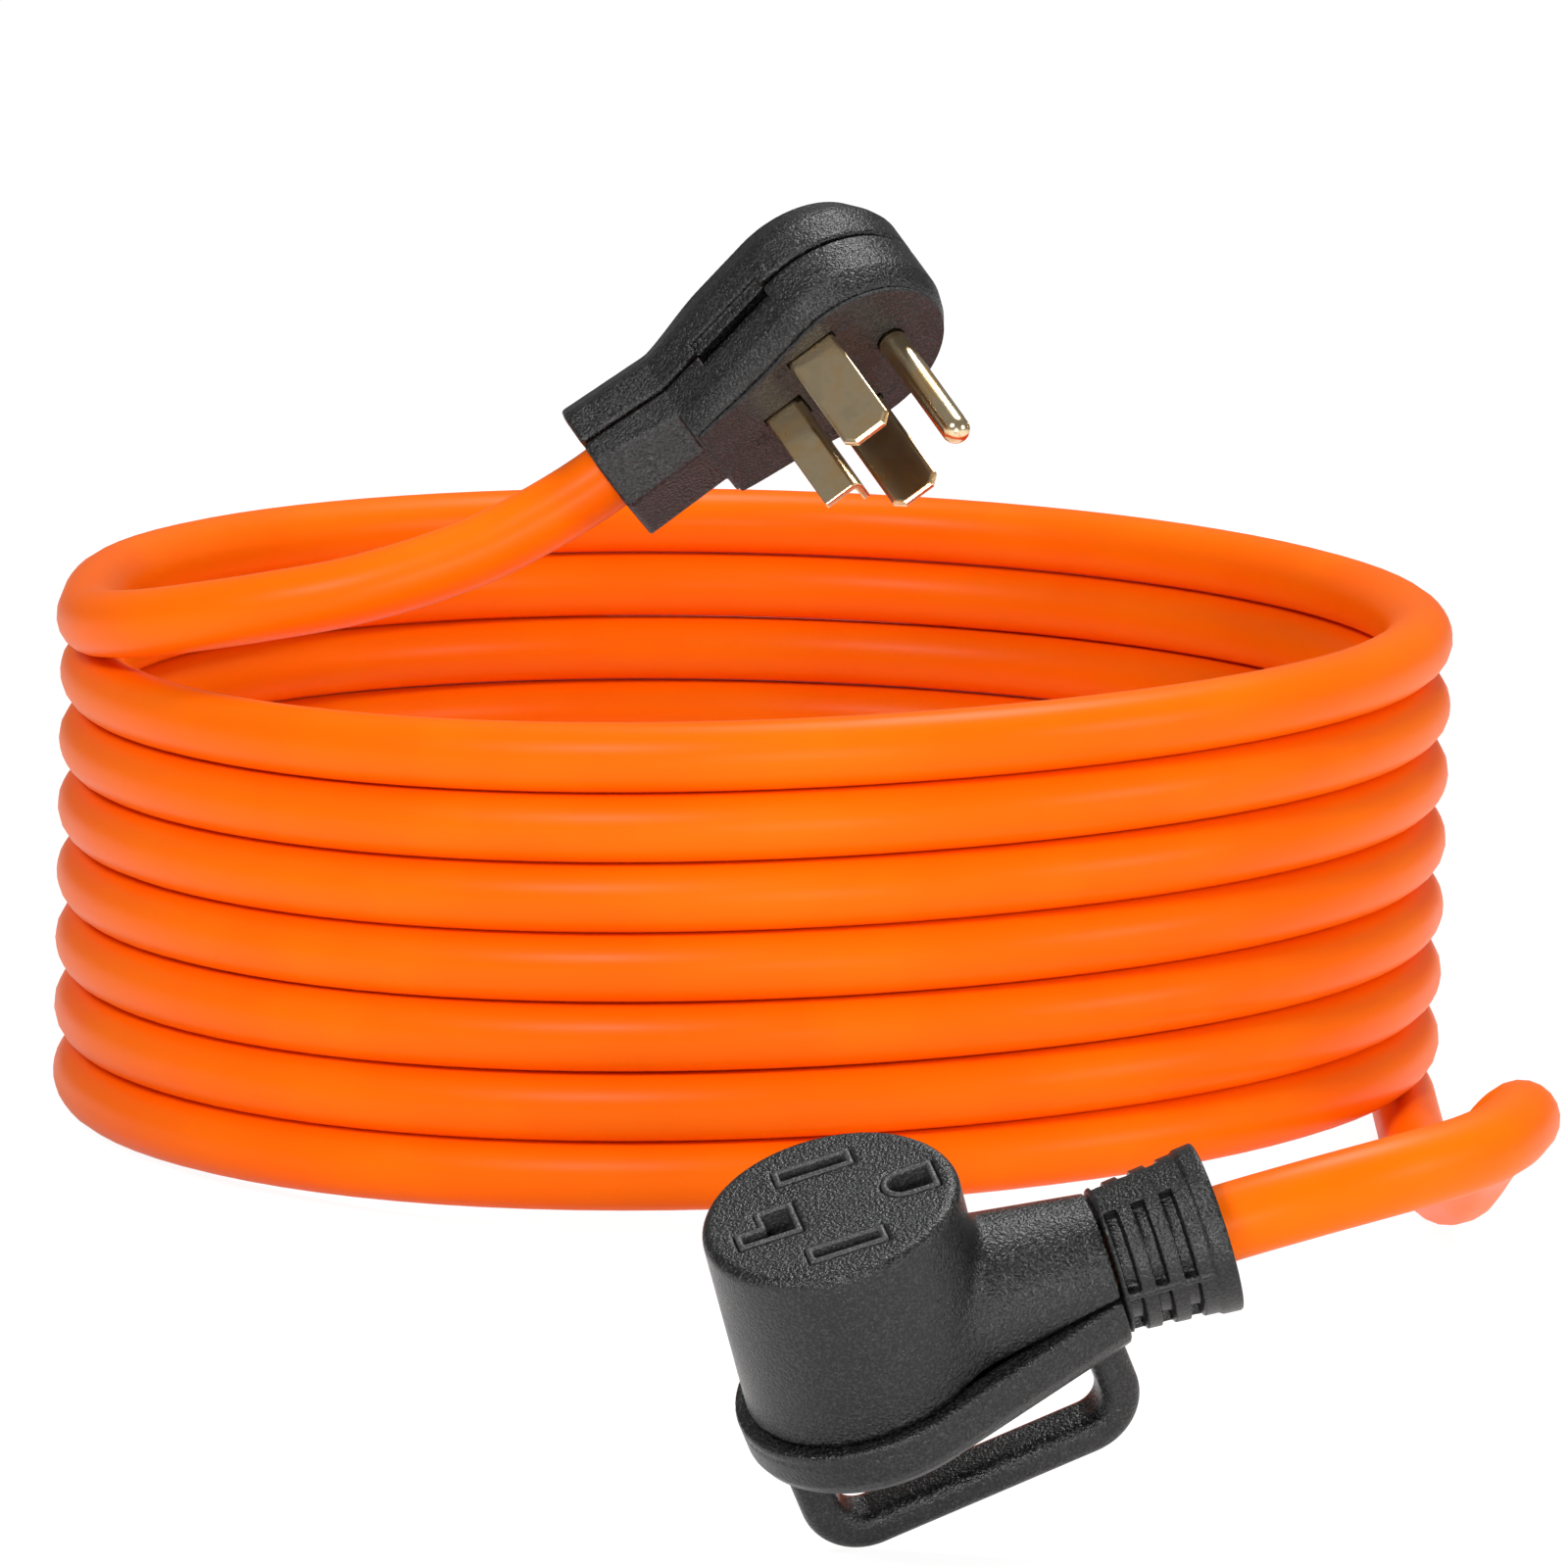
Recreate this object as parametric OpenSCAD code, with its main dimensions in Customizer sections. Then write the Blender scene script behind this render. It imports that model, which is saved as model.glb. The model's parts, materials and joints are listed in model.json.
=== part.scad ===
// Shore power cord for a caravan or motorhome: a four-wire lead wound in a column of turns,
// with a right-angle four-blade plug at its upper end and a right-angle four-slot connector
// with a pull handle at its lower end. Millimetres, +Z up, floor at Z = 0.
//
// The plug and the connector are drawn in frames of their own: the origin is the middle of
// the blade (or slot) pattern on the contact face, +X runs from neutral to ground, and +Z
// points out of the face. The cord enters the plug at cord_axis below its face, and the
// connector at arm_axis below its face.

/* [Cord] */
// Outside diameter of the jacket
cord_d = 16.5; // [15.5:0.1:17]
// Radius of the coil, measured to the middle of the cord
coil_r = 166.3; // [155:0.1:180]
// Number of turns, always a whole number and a half
turns = 7.5; // [5.5:1:8.5]
// Free height between one turn and the next
turn_gap = 0.45; // [0.42:0.01:0.8]
// Diameter of one insulated wire inside the jacket
wire_d = 4.6; // [3.6:0.1:4.7]

/* [Blades] */
// Distance between the two line blades
line_spacing = 32; // [30:0.5:34]
// Width of a line blade
blade_w = 13; // [11:0.5:15]
// Thickness of the bent and flat blades
blade_t = 1.9; // [1.5:0.1:2.2]
// Length of the flat blades outside the plug
blade_l = 31; // [22:0.5:34]
// Corner cut off a line blade's tip
blade_chamfer = 2.4; // [1:0.1:4]
// Distance of the neutral blade's middle from the line blades' middle
neutral_x = 14.2; // [13:0.1:15]
// Length of the neutral blade's leg that lies along the plug
neutral_along = 10; // [8:0.5:10.5]
// Length of the neutral blade's leg that lies across the plug
neutral_across = 7.8; // [6:0.2:8]
// Distance of the ground pin from the line blades' middle
ground_x = 16.8; // [16:0.1:18]
// Diameter of the ground pin
ground_d = 7.1; // [6.5:0.1:7.4]
// Length of the ground pin outside the plug
ground_l = 36.5; // [25:0.5:38]
// Length of a blade inside the plug
blade_root = 14; // [12:0.5:16]

/* [Plug] */
// Radius of the round head
plug_head_r = 26; // [25:0.5:28]
// Distance of the head's middle from the line blades' middle
plug_head_x = 7.5; // [6:0.5:9]
// Width of the neck between the head and the cord end
plug_neck_w = 30; // [29:0.5:34]
// Distance of the neck from the line blades' middle
plug_neck_x = 34.5; // [32:0.5:38]
// Width of the cord end
plug_end_w = 34; // [32:0.5:38]
// Distance of the cord end from the line blades' middle
plug_end_x = 58.5; // [55:0.5:64]
// Depth of the plug, from the blade face to the back
plug_depth = 36; // [34:0.5:40]
// Thickness of the shells' walls
plug_wall = 4.5; // [3.5:0.1:4.8]
// Width of the groove that parts the two shells
parting_gap = 0.8; // [0.4:0.1:1.2]
// Length of the finger recess in each flank
recess_l = 22.5; // [18:0.5:25]
// Height of the finger recess
recess_h = 6; // [4:0.5:8]
// Depth of the finger recess
recess_depth = 2.5; // [1:0.1:2.8]
// Height and width of the large chamfer along the neck's front edges
neck_chamfer = 7.8; // [4:0.2:8]
// How far the blade plate stands out of the front shell
plate_h = 1.2; // [0.6:0.1:2]

/* [Connector] */
// Radius of the contact face
face_r = 28; // [27.5:0.5:31]
// Radius of the round housing where it meets the back cover
housing_r = 28; // [27.5:0.5:31]
// Depth of the round housing at its middle
housing_depth = 41; // [39:0.2:43]
// Rounding of the face's edge
face_round = 2.5; // [1:0.1:3]
// Thickness of the housing's walls
housing_wall = 4; // [3:0.1:4.2]
// Radius of the arm inside the housing
arm_root_r = 21.5; // [20:0.5:24]
// Radius of the arm at the strain relief
arm_end_r = 15.3; // [14.5:0.1:17]
// Distance from the face's middle to the end of the arm
arm_l = 54; // [50:0.5:58]
// Length of the strain relief
relief_l = 24.8; // [22:0.2:32]
// Radius of the strain relief at the arm
relief_r = 16; // [15.5:0.1:17]
// Radius of the strain relief at the cord
relief_end_r = 18.2; // [17:0.1:19]
// Width of one slot in the strain relief
relief_slot_w = 2.8; // [2:0.1:3.5]
// Distance from one row of slots to the next
relief_pitch = 6.2; // [5:0.1:7]
// Rows of slots
relief_rows = 3; // [2:1:3]
// Radius of the back cover's round end
cover_r = 31; // [30:0.5:33]
// Depth of the back cover
cover_depth = 13.4; // [12.5:0.1:16]
// Slope of the back cover and the handle against the contact face
cover_tilt = 6.4; // [3:0.2:8]
// Width of the back cover at the arm's end
cover_tip_w = 31; // [30:0.5:34]
// Groove between the housing and the back cover
cover_gap = 0.8; // [0.4:0.1:1.2]
// Thickness of the handle, seen from the side
handle_t = 8.5; // [7:0.5:12]
// Width of the handle
handle_w = 12; // [10:0.5:16]
// Length of the handle
handle_l = 77.5; // [74:0.5:80]
// Height of the opening between the back cover and the handle
handle_gap = 19; // [14:0.5:24]
// Radius of the handle's outer corners
handle_corner = 14; // [12.5:0.5:16]

/* [Sockets] */
// Length of a line slot
slot_l = 14.6; // [14:0.1:16]
// Width of a line slot
slot_w = 3.2; // [2.8:0.1:3.6]
// Width of the plastic rim round each slot
rim_w = 1.4; // [1:0.1:1.6]
// Length of the ground slot, with its round end
ground_slot_l = 9.2; // [8.6:0.1:10]
// Width of the ground slot
ground_slot_w = 7.6; // [7.5:0.1:8]
// Thickness of the contact springs
spring_t = 0.8; // [0.5:0.1:1]

/* [Hidden] */

$fn = 64;

// Clearances: round a seated piece, and round the cord in its hole
fit = 0.15;
cord_fit = 0.25;

// Where the coil's axis stands on the floor
coil_at = [-29, 304.4, 0];
// How the plug and the connector are turned
plug_turn = [135, -38, 4];
connector_turn = [20, -18, 8];

// The coil: flat at the back, and climbing one pitch through the front of each turn
coil_pitch = cord_d + turn_gap;
coil_sides = 6;
coil_rings = 24;
climb_from = 195;
climb_to = 346;
climb_ease = 0.6;
coil_start = [coil_r, -cord_d, cord_d / 2];
coil_end = [-coil_r, -cord_d, coil_z(turns * 360)];

// The free stretch from the coil's upper end to the plug, from that end
plug_route = [[0, 0, 0], [1, -20, 0], [6, -39, 2], [16, -56, 5], [30, -69, 9],
    [46, -77, 13], [67, -81, 18], [89, -80, 25], [107, -77, 33], [129, -74, 47]];
// The free stretch from the connector to the coil's lower end: x and y from that end, and
// the height above the floor
connector_route = [[-65, -484, 73.6], [-46, -480, 79], [-27, -471, 83], [-11, -456, 85],
    [-2, -440, 86], [3, -420, 86], [4, -396, 82], [3, -378, 77], [2, -353, 69.5],
    [2, -323, 61], [2, -291, 52], [2, -257, 42], [2, -224, 33], [1, -189, 25],
    [1, -156, 19], [1, -122, 14], [1, -95, 11], [0, -60, 9], [0, -30, 8.5],
    [0, 0, cord_d / 2]];
tail_sides = 10;
wire_sides = 8;

// The plug, below its blade face
cord_axis = plug_depth / 2;
plug_end_wall = 4;
plug_root_l = 18;
plate_inset = 2.6;
plate_boss_h = 4.6;
plate_step_x = plug_neck_x;
outline_steps = 28;
// Heights above the back and the inset of the outline there
back_round = [[0, 7], [1.5, 4], [6.5, 1], [9, 0]];
back_bevel = 1.6;
front_bevel = 0.4;
neck_step = 0.8;
neck_wall = 3;
lip_w = 1.2;
lip_inset = 1.5;
crimp_r = 3;
crimp_l = 9;
crimp_z = 11;
wire_circle = 3.4;
green_drop = 1.4;
recess_x = plug_head_x - 8;
pin_shoulder = 0.5;
pin_root_r = ground_d / 2 - 0.4;

// The connector, below its face
arm_axis = 35;
arm_from = 10.3;
relief_end = arm_l + fit + relief_l;
cover_top = housing_depth + cover_gap;
housing_low = cover_top + 2 * housing_r * tan(cover_tilt);
cover_wall = 5.6;
cover_floor = 6.5;
connector_root_l = 43;
handle_end = 2.5;
handle_x = arm_l - handle_end - handle_l;
handle_seat = 4;
face_skin = 3.6;
block_depth = 30;
slot_depth = 8;
spring_l = 19;
connector_crimp_z = 36;
white_drop = 6;
room_w = 25;
relief_slot_l = 19.2;
relief_slot_angles = [52.5, 127.5, 232.5, 307.5];

function unit(v) = v / norm(v);

function climb(angle) =
    let (t = min(max((angle - climb_from) / (climb_to - climb_from), 0), 1))
    t - climb_ease * sin(360 * t) / (2 * PI);

function coil_z(angle) =
    cord_d / 2 + coil_pitch * (floor(angle / 360) + climb(angle % 360));

// A ring of n points round p, square to the direction t
function ring_at(p, t, r, n) =
    let (e1 = unit(cross(t, [0, 0, 1])), e2 = cross(t, e1))
    [for (k = [0 : n - 1]) p + r * (cos(360 * k / n) * e1 + sin(360 * k / n) * e2)];

// Directions along a path, with those of its two ends given
function directions(path, first, last) =
    [for (i = [0 : len(path) - 1])
        i == 0 ? first : i == len(path) - 1 ? last : unit(path[i + 1] - path[i - 1])];

// A path from a to b that leaves and arrives along X
function s_path(a, b, steps) =
    [for (i = [0 : steps]) let (t = i / steps, s = t * t * (3 - 2 * t))
        [a.x + (b.x - a.x) * t, a.y + (b.y - a.y) * s, a.z + (b.z - a.z) * s]];

// First column of the turning matrix of rotate(turn): where it takes +X
function turned_x(turn) =
    [cos(turn.y) * cos(turn.z), cos(turn.y) * sin(turn.z), -sin(turn.y)];

// Angle on a round head where the straight side towards a point of the neck leaves it
function tangent_angle(r, head_x, neck_x, neck_half) =
    atan2(neck_half, -neck_x - head_x) - acos(r / norm([neck_x + head_x, neck_half]));

// Outline of a round head with a neck and a square end on -X, drawn in by inset, and by
// bevel times as much along the neck
function teardrop(r, head_x, neck, end, inset, bevel) =
    let (a = tangent_angle(r, head_x, neck.x, neck.y), side = inset * bevel)
    concat([[-end.x, side - end.y]], neck.x < end.x ? [[-neck.x, side - neck.y]] : [],
        [for (i = [0 : outline_steps]) let (t = a * (2 * i / outline_steps - 1))
            [head_x + (r - inset) * cos(t), (r - inset) * sin(t)]],
        neck.x < end.x ? [[-neck.x, neck.y - side]] : [], [[-end.x, end.y - side]]);

function plug_outline(inset, end_x, bevel) =
    teardrop(plug_head_r, plug_head_x, [plug_neck_x, plug_neck_w / 2],
        [end_x, end_x > plug_neck_x ? plug_end_w / 2 : plug_neck_w / 2], inset, bevel);

function cover_outline(inset) =
    teardrop(cover_r, 0, [arm_l, cover_tip_w / 2], [arm_l + 4, cover_tip_w / 2], inset, 1);

function lifted(outline, z) = [for (p = outline) [p.x, p.y, z]];

// A solid through rings of equally many points, each counter-clockwise seen from the last
module loft(rings, round_caps = false) {
    n = len(rings[0]);
    top = (len(rings) - 1) * n;
    sides = [for (j = [0 : len(rings) - 2]) for (k = [0 : n - 1])
        let (a = j * n + k, b = j * n + (k + 1) % n)
        each [[a, a + n, b + n], [a, b + n, b]]];
    caps = round_caps
        ? [for (k = [1 : n - 2]) each [[0, k, k + 1], [top, top + k + 1, top + k]]]
        : [[for (k = [0 : n - 1]) k], [for (k = [n - 1 : -1 : 0]) top + k]];
    polyhedron([for (ring = rings) for (p = ring) p], concat(sides, caps), convexity = 8);
}

module tube(path, along, r, n) {
    loft([for (i = [0 : len(path) - 1]) ring_at(path[i], along[i], r, n)], true);
}

// A cylinder from x = from to x = to
module x_cylinder(from, to, r1, r2) {
    translate([from, 0, 0]) rotate([0, 90, 0]) cylinder(h = to - from, r1 = r1, r2 = r2);
}

module slab(low, high) {
    translate(low) cube(high - low);
}

// ---------------------------------------------------------------- the cord

coil_angles = [for (i = [0 : turns * coil_rings]) i * 360 / coil_rings];
coil_path = concat([coil_start],
    [for (a = coil_angles) [coil_r * cos(a), coil_r * sin(a), coil_z(a)]], [coil_end]);
coil_along = concat([[0, 1, 0]], [for (a = coil_angles) [-sin(a), cos(a), 0]], [[0, -1, 0]]);
coil_form_r = cord_d / 2 / cos(180 / coil_sides);
coil_form = [for (i = [0 : len(coil_path) - 1])
    ring_at(coil_path[i], coil_along[i], coil_form_r, coil_sides)];

coil_gap = min([for (i = [0 : len(coil_form) - 1]) for (o = [-1 : 1])
    if (i + coil_rings + o < len(coil_form))
        for (a = coil_form[i]) for (b = coil_form[i + coil_rings + o]) norm(a - b)]);
echo(least_gap_between_turns_mm = coil_gap);

module cord_coil() {
    color("#ff6e05") translate(coil_at) loft(coil_form, true);
}

module cord_plug_tail() {
    path = [for (p = plug_route) coil_end + p];
    color("#ff6e05") translate(coil_at)
        tube(path, directions(path, [0, -1, 0], turned_x(plug_turn)), cord_d / 2, tail_sides);
}

module cord_connector_tail() {
    path = [for (p = connector_route) [coil_start.x + p.x, coil_start.y + p.y, p.z]];
    color("#ff6e05") translate(coil_at)
        tube(path, directions(path, turned_x(connector_turn), [0, 1, 0]),
            cord_d / 2, tail_sides);
}

// ---------------------------------------------------------------- the plug

module at_plug() {
    translate(coil_at + coil_end + plug_route[len(plug_route) - 1]) rotate(plug_turn)
        translate([plug_end_x, 0, cord_axis]) children();
}

module plug_loft(levels, bevel) {
    loft([for (level = levels) lifted(plug_outline(level[1], plug_end_x, bevel), level[0])]);
}

module plug_cord_hole() {
    translate([0, 0, -cord_axis])
        x_cylinder(-plug_end_x - 1, -plug_end_x + plug_end_wall + 1,
            cord_d / 2 + cord_fit, cord_d / 2 + cord_fit);
}

// The recess in each flank, across the parting groove
module finger_recess() {
    intersection() {
        slab([recess_x - recess_l, -2 * plug_head_r, -cord_axis - recess_h / 2],
            [recess_x, 2 * plug_head_r, -cord_axis + recess_h / 2]);
        translate([0, 0, -plug_depth]) difference() {
            slab([-plug_end_x, -2 * plug_head_r, 0], [2 * plug_head_r, 2 * plug_head_r, plug_depth]);
            translate([0, 0, -1]) linear_extrude(plug_depth + 2)
                polygon(plug_outline(recess_depth, plug_end_x, 1));
        }
    }
}

module plug_cavity(from, to) {
    translate([0, 0, from]) linear_extrude(to - from)
        polygon(plug_outline(plug_wall, plug_end_x - plug_end_wall, 1));
}

module plug_back_shell() {
    top = -cord_axis - parting_gap / 2;
    color("#2e2e2e") at_plug() {
        difference() {
            plug_loft(concat([for (level = back_round) [level[0] - plug_depth, level[1]]],
                [[top, 0]]), back_bevel);
            plug_cavity(-plug_depth + plug_wall, top + 1);
            plug_cord_hole();
            finger_recess();
        }
        // Locating lip that fills the groove behind the recesses
        difference() {
            translate([0, 0, top]) linear_extrude(parting_gap) difference() {
                polygon(plug_outline(plug_wall - lip_w, plug_end_x - plug_end_wall + lip_w, 1));
                polygon(plug_outline(plug_wall, plug_end_x - plug_end_wall, 1));
            }
            plug_cord_hole();
        }
    }
}

// The part beyond the large chamfers on both sides of the neck, or beyond planes inside them
module neck_edges(inset) {
    for (side = [-1, 1])
        translate([0, side * (plug_neck_w / 2 - inset * sqrt(2)), -plate_h - neck_chamfer])
            rotate([-45 * side, 0, 0])
                slab([-plug_end_x - 1, -2 * neck_chamfer, 0],
                    [-plate_step_x - neck_step, 2 * neck_chamfer, plug_depth]);
}

module plug_front_shell() {
    bottom = -cord_axis + parting_gap / 2;
    color("#333333") at_plug() difference() {
        plug_loft([[bottom, 0], [-7, 0], [-3, 1.2], [-plate_h, plate_inset]], front_bevel);
        difference() {
            plug_cavity(bottom - 1, -plate_h - plate_boss_h);
            neck_edges(neck_wall);
        }
        translate([0, 0, -plug_depth]) linear_extrude(2 * plug_depth)
            polygon(plug_outline(plug_wall, plate_step_x - plug_wall, 1));
        neck_edges(0);
        plug_cord_hole();
        finger_recess();
    }
}

// Section of the neutral blade: one leg along the plug, one across it, drawn out by grow
module neutral_section(grow) {
    right = -neutral_x + neutral_along / 2;
    half = neutral_across / 2;
    translate([right - neutral_along - grow, half - blade_t - grow])
        square([neutral_along + 2 * grow, blade_t + 2 * grow]);
    translate([right - blade_t - grow, -half - grow])
        square([blade_t + 2 * grow, neutral_across + 2 * grow]);
}

module blade_holes() {
    for (side = [-1, 1]) translate([0, side * line_spacing / 2])
        square([blade_w + 2 * fit, blade_t + 2 * fit], center = true);
    neutral_section(fit);
    translate([ground_x, 0]) circle(r = pin_root_r + fit);
}

module plug_blade_plate() {
    color("#3a3a3a") at_plug() {
        translate([0, 0, -plate_h]) linear_extrude(plate_h) difference() {
            polygon(plug_outline(plate_inset, plate_step_x, front_bevel));
            blade_holes();
        }
        translate([0, 0, -plate_h - plate_boss_h]) linear_extrude(plate_boss_h) difference() {
            polygon(plug_outline(plug_wall + fit, plate_step_x - plug_wall - fit, 1));
            blade_holes();
        }
    }
}

// A flat blade across Y, with its tip's corners cut off
module line_blade(side) {
    half = blade_w / 2;
    color("#c9a15e") at_plug() translate([0, side * line_spacing / 2 + blade_t / 2, 0])
        rotate([90, 0, 0]) linear_extrude(blade_t)
            polygon([[-half, -blade_root], [half, -blade_root], [half, blade_l - blade_chamfer],
                [half - blade_chamfer, blade_l], [blade_chamfer - half, blade_l],
                [-half, blade_l - blade_chamfer]]);
}

module line_blade_x() {
    line_blade(-1);
}

module line_blade_y() {
    line_blade(1);
}

module neutral_blade() {
    color("#c9a15e") at_plug() translate([0, 0, -blade_root])
        linear_extrude(blade_root + blade_l) neutral_section(0);
}

// Thinner inside the plug than outside, with its shoulder just off the blade plate
module ground_pin() {
    r = ground_d / 2;
    color("#c9a15e") at_plug() translate([ground_x, 0, 0]) {
        translate([0, 0, -blade_root]) cylinder(h = blade_root + pin_shoulder, r = pin_root_r);
        translate([0, 0, pin_shoulder]) cylinder(h = ground_l - r - pin_shoulder, r = r);
        translate([0, 0, ground_l - r]) sphere(r = r);
    }
}

// Where each wire meets its crimp in the plug: the crimp's start on X, then Y and Z
line_crimp_y = line_spacing / 2 - blade_t / 2 - crimp_r;
neutral_face_x = -neutral_x + neutral_along / 2 - blade_t;
neutral_crimp_y = neutral_across / 2 - blade_t - crimp_r;
plug_crimp_at = [[-blade_w / 2, -line_crimp_y, -crimp_z], [-blade_w / 2, line_crimp_y, -crimp_z],
    [neutral_face_x - crimp_l, neutral_crimp_y, -crimp_z],
    [ground_x - pin_root_r - crimp_l, 0, -crimp_z]];

module plug_crimps() {
    color("#b9b4a6") at_plug() for (p = plug_crimp_at)
        translate(p) rotate([0, 90, 0]) cylinder(h = crimp_l, r = crimp_r);
}

// Where each wire leaves the jacket, round the cord's axis: black, red, white and green
wire_start = [[-wire_circle, 0], [wire_circle, 0], [0, wire_circle], [0, -wire_circle]];

module plug_wire(i, path) {
    at_plug() tube(path, directions(path, [1, 0, 0], [1, 0, 0]), wire_d / 2, wire_sides);
}

function plug_wire_from(i) =
    [-plug_end_x + plug_root_l, wire_start[i].x, wire_start[i].y - cord_axis];

module plug_wire_black() {
    color("#161616") plug_wire(0, s_path(plug_wire_from(0), plug_crimp_at[0], 6));
}

module plug_wire_red() {
    color("#b3201c") plug_wire(1, s_path(plug_wire_from(1), plug_crimp_at[1], 6));
}

module plug_wire_white() {
    color("#e8e6e0") plug_wire(2, s_path(plug_wire_from(2), plug_crimp_at[2], 5));
}

module plug_wire_green() {
    start = plug_wire_from(3);
    low = [-neutral_x + neutral_along / 2, 0, start.z + green_drop];
    color("#2f7d3a") plug_wire(3, concat(s_path(start, low, 4),
        [for (i = [1 : 5]) s_path(low, plug_crimp_at[3], 5)[i]]));
}

module plug_cord_root() {
    color("#ff6e05") at_plug() translate([0, 0, -cord_axis])
        x_cylinder(-plug_end_x, -plug_end_x + plug_root_l, cord_d / 2, cord_d / 2);
}

// ---------------------------------------------------------------- the connector

module at_connector() {
    translate(coil_at + [coil_start.x, coil_start.y, 0] + connector_route[0])
        rotate(connector_turn) translate([-relief_end, 0, arm_axis]) children();
}

// The back cover's own frame: its upper edge at Z = 0, sloping up towards the cord
module at_cover() {
    translate([0, 0, -cover_top]) rotate([0, -cover_tilt, 0]) children();
}

// Side view of the round housing's half: upright wall with a rounded upper edge
module housing_profile() {
    polygon(concat([[0, -housing_low], [housing_r, -housing_low]],
        [for (i = [0 : 6]) let (a = 15 * i)
            [face_r - face_round + face_round * cos(a), -face_round + face_round * sin(a)]],
        [[0, 0]]));
}

// Outlines of the plastic rims round the slots, drawn out by grow
module line_rim(grow) {
    square([slot_l + 2 * (rim_w + grow), slot_w + 2 * (rim_w + grow)], center = true);
}

module neutral_slot(grow) {
    right = -neutral_x + neutral_along / 2 + 0.7;
    half = neutral_across / 2 + 0.6;
    translate([right - neutral_along - 1.4 - grow, -half - grow])
        square([neutral_along + 1.4 + 2 * grow, slot_w + 2 * grow]);
    translate([right - 5.8 - grow, -half - grow])
        square([5.8 + 2 * grow, 2 * half + 2 * grow]);
}

module ground_slot(grow) {
    r = ground_slot_w / 2;
    translate([ground_x, 0]) {
        intersection() {
            circle(r = r + grow);
            translate([-2 * r, -2 * r]) square([2 * r, 4 * r]);
        }
        translate([0, -r - grow]) square([ground_slot_l - r + grow, 2 * (r + grow)]);
    }
}

module rims(grow) {
    for (side = [-1, 1]) translate([0, side * line_spacing / 2]) line_rim(grow);
    neutral_slot(rim_w + grow);
    ground_slot(rim_w + grow);
}

module slots() {
    for (side = [-1, 1]) translate([0, side * line_spacing / 2])
        square([slot_l, slot_w], center = true);
    neutral_slot(0);
    ground_slot(0);
}

// Room for the wires where the jacket ends, in both halves of the arm
module wire_room() {
    slab([0, -room_w / 2, -cover_top - 3.5],
        [relief_end - connector_root_l + 2, room_w / 2, -arm_axis + cord_d / 2]);
}

module cord_bore(from) {
    translate([0, 0, -arm_axis])
        x_cylinder(from, relief_end + 1, cord_d / 2 + cord_fit, cord_d / 2 + cord_fit);
}

module connector_housing() {
    color("#333333") at_connector() difference() {
        union() {
            rotate_extrude() housing_profile();
            translate([0, 0, -arm_axis]) x_cylinder(arm_from, arm_l, arm_root_r, arm_end_r);
        }
        at_cover() slab([-3 * housing_r, -3 * housing_r, -3 * housing_r],
            [3 * housing_r, 3 * housing_r, cover_gap]);
        translate([0, 0, -housing_low - 1])
            cylinder(h = housing_low + 1 - face_skin, r = face_r - housing_wall);
        translate([0, 0, -face_skin - 1]) linear_extrude(face_skin + 2) rims(fit);
        wire_room();
        cord_bore(relief_end - connector_root_l - 1);
    }
}

module connector_back_cover() {
    color("#2e2e2e") at_connector() difference() {
        at_cover() union() {
            rotate([0, 0, 180]) loft([for (level = [[-cover_depth, 5],
                [1.2 - cover_depth, 3], [3.2 - cover_depth, 1], [5.4 - cover_depth, 0], [0, 0]])
                lifted(cover_outline(level[1]), level[0])]);
            // Locating lip that carries the housing
            translate([0, 0, -1]) cylinder(h = cover_gap + 1, r = face_r - lip_inset);
        }
        at_cover() translate([0, 0, cover_floor - cover_depth]) intersection() {
            rotate([0, 0, 180]) linear_extrude(cover_depth) polygon(cover_outline(cover_wall));
            slab([-2 * cover_r, -2 * cover_r, -1],
                [relief_end - connector_root_l + 2, 2 * cover_r, cover_depth]);
        }
        wire_room();
        cord_bore(relief_end - connector_root_l - 1);
        at_cover() handle_sockets();
        slab([arm_l, -2 * cover_r, -3 * cover_r], [3 * cover_r, 2 * cover_r, 0]);
    }
}

// The two holes in the cover's floor that take the handle's legs
module handle_sockets() {
    for (x = [handle_x, handle_x + handle_l - handle_t])
        slab([x - fit, -handle_w / 2 - fit, -2 * handle_depth()],
            [x + handle_t + fit, handle_w / 2 + fit, fit - handle_top()]);
}

// Depths of the handle's inner end and outer side below the cover's upper edge
function handle_top() = cover_depth - handle_seat;

function handle_depth() = cover_depth + handle_gap + handle_t;

// Side view of a box from the floor of the handle upwards, with two round lower corners
module handle_box(x0, x1, low, r) {
    translate([x0 + r, -low]) square([x1 - x0 - 2 * r, low - handle_top()]);
    translate([x0, r - low]) square([x1 - x0, low - handle_top() - r]);
    for (x = [x0 + r, x1 - r]) translate([x, r - low]) circle(r = r);
}

module connector_pull_handle() {
    color("#2b2b2b") at_connector() at_cover() translate([0, handle_w / 2, 0])
        rotate([90, 0, 0]) linear_extrude(handle_w) difference() {
            handle_box(handle_x, handle_x + handle_l, handle_depth(), handle_corner);
            translate([0, 1]) handle_box(handle_x + handle_t, handle_x + handle_l - handle_t,
                handle_depth() - handle_t + 1, handle_corner - handle_t);
        }
}

module connector_strain_relief() {
    start = arm_l + fit;
    color("#2e2e2e") at_connector() difference() {
        translate([0, 0, -arm_axis]) x_cylinder(start, relief_end, relief_r, relief_end_r);
        cord_bore(start - 1);
        for (row = [0 : relief_rows - 1]) for (angle = relief_slot_angles)
            translate([start + 1.2 + row * relief_pitch, 0, -arm_axis]) rotate([angle, 0, 0])
                translate([0, -relief_slot_l / 2, relief_r - 3])
                    cube([relief_slot_w, relief_slot_l, 8]);
    }
}

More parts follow.
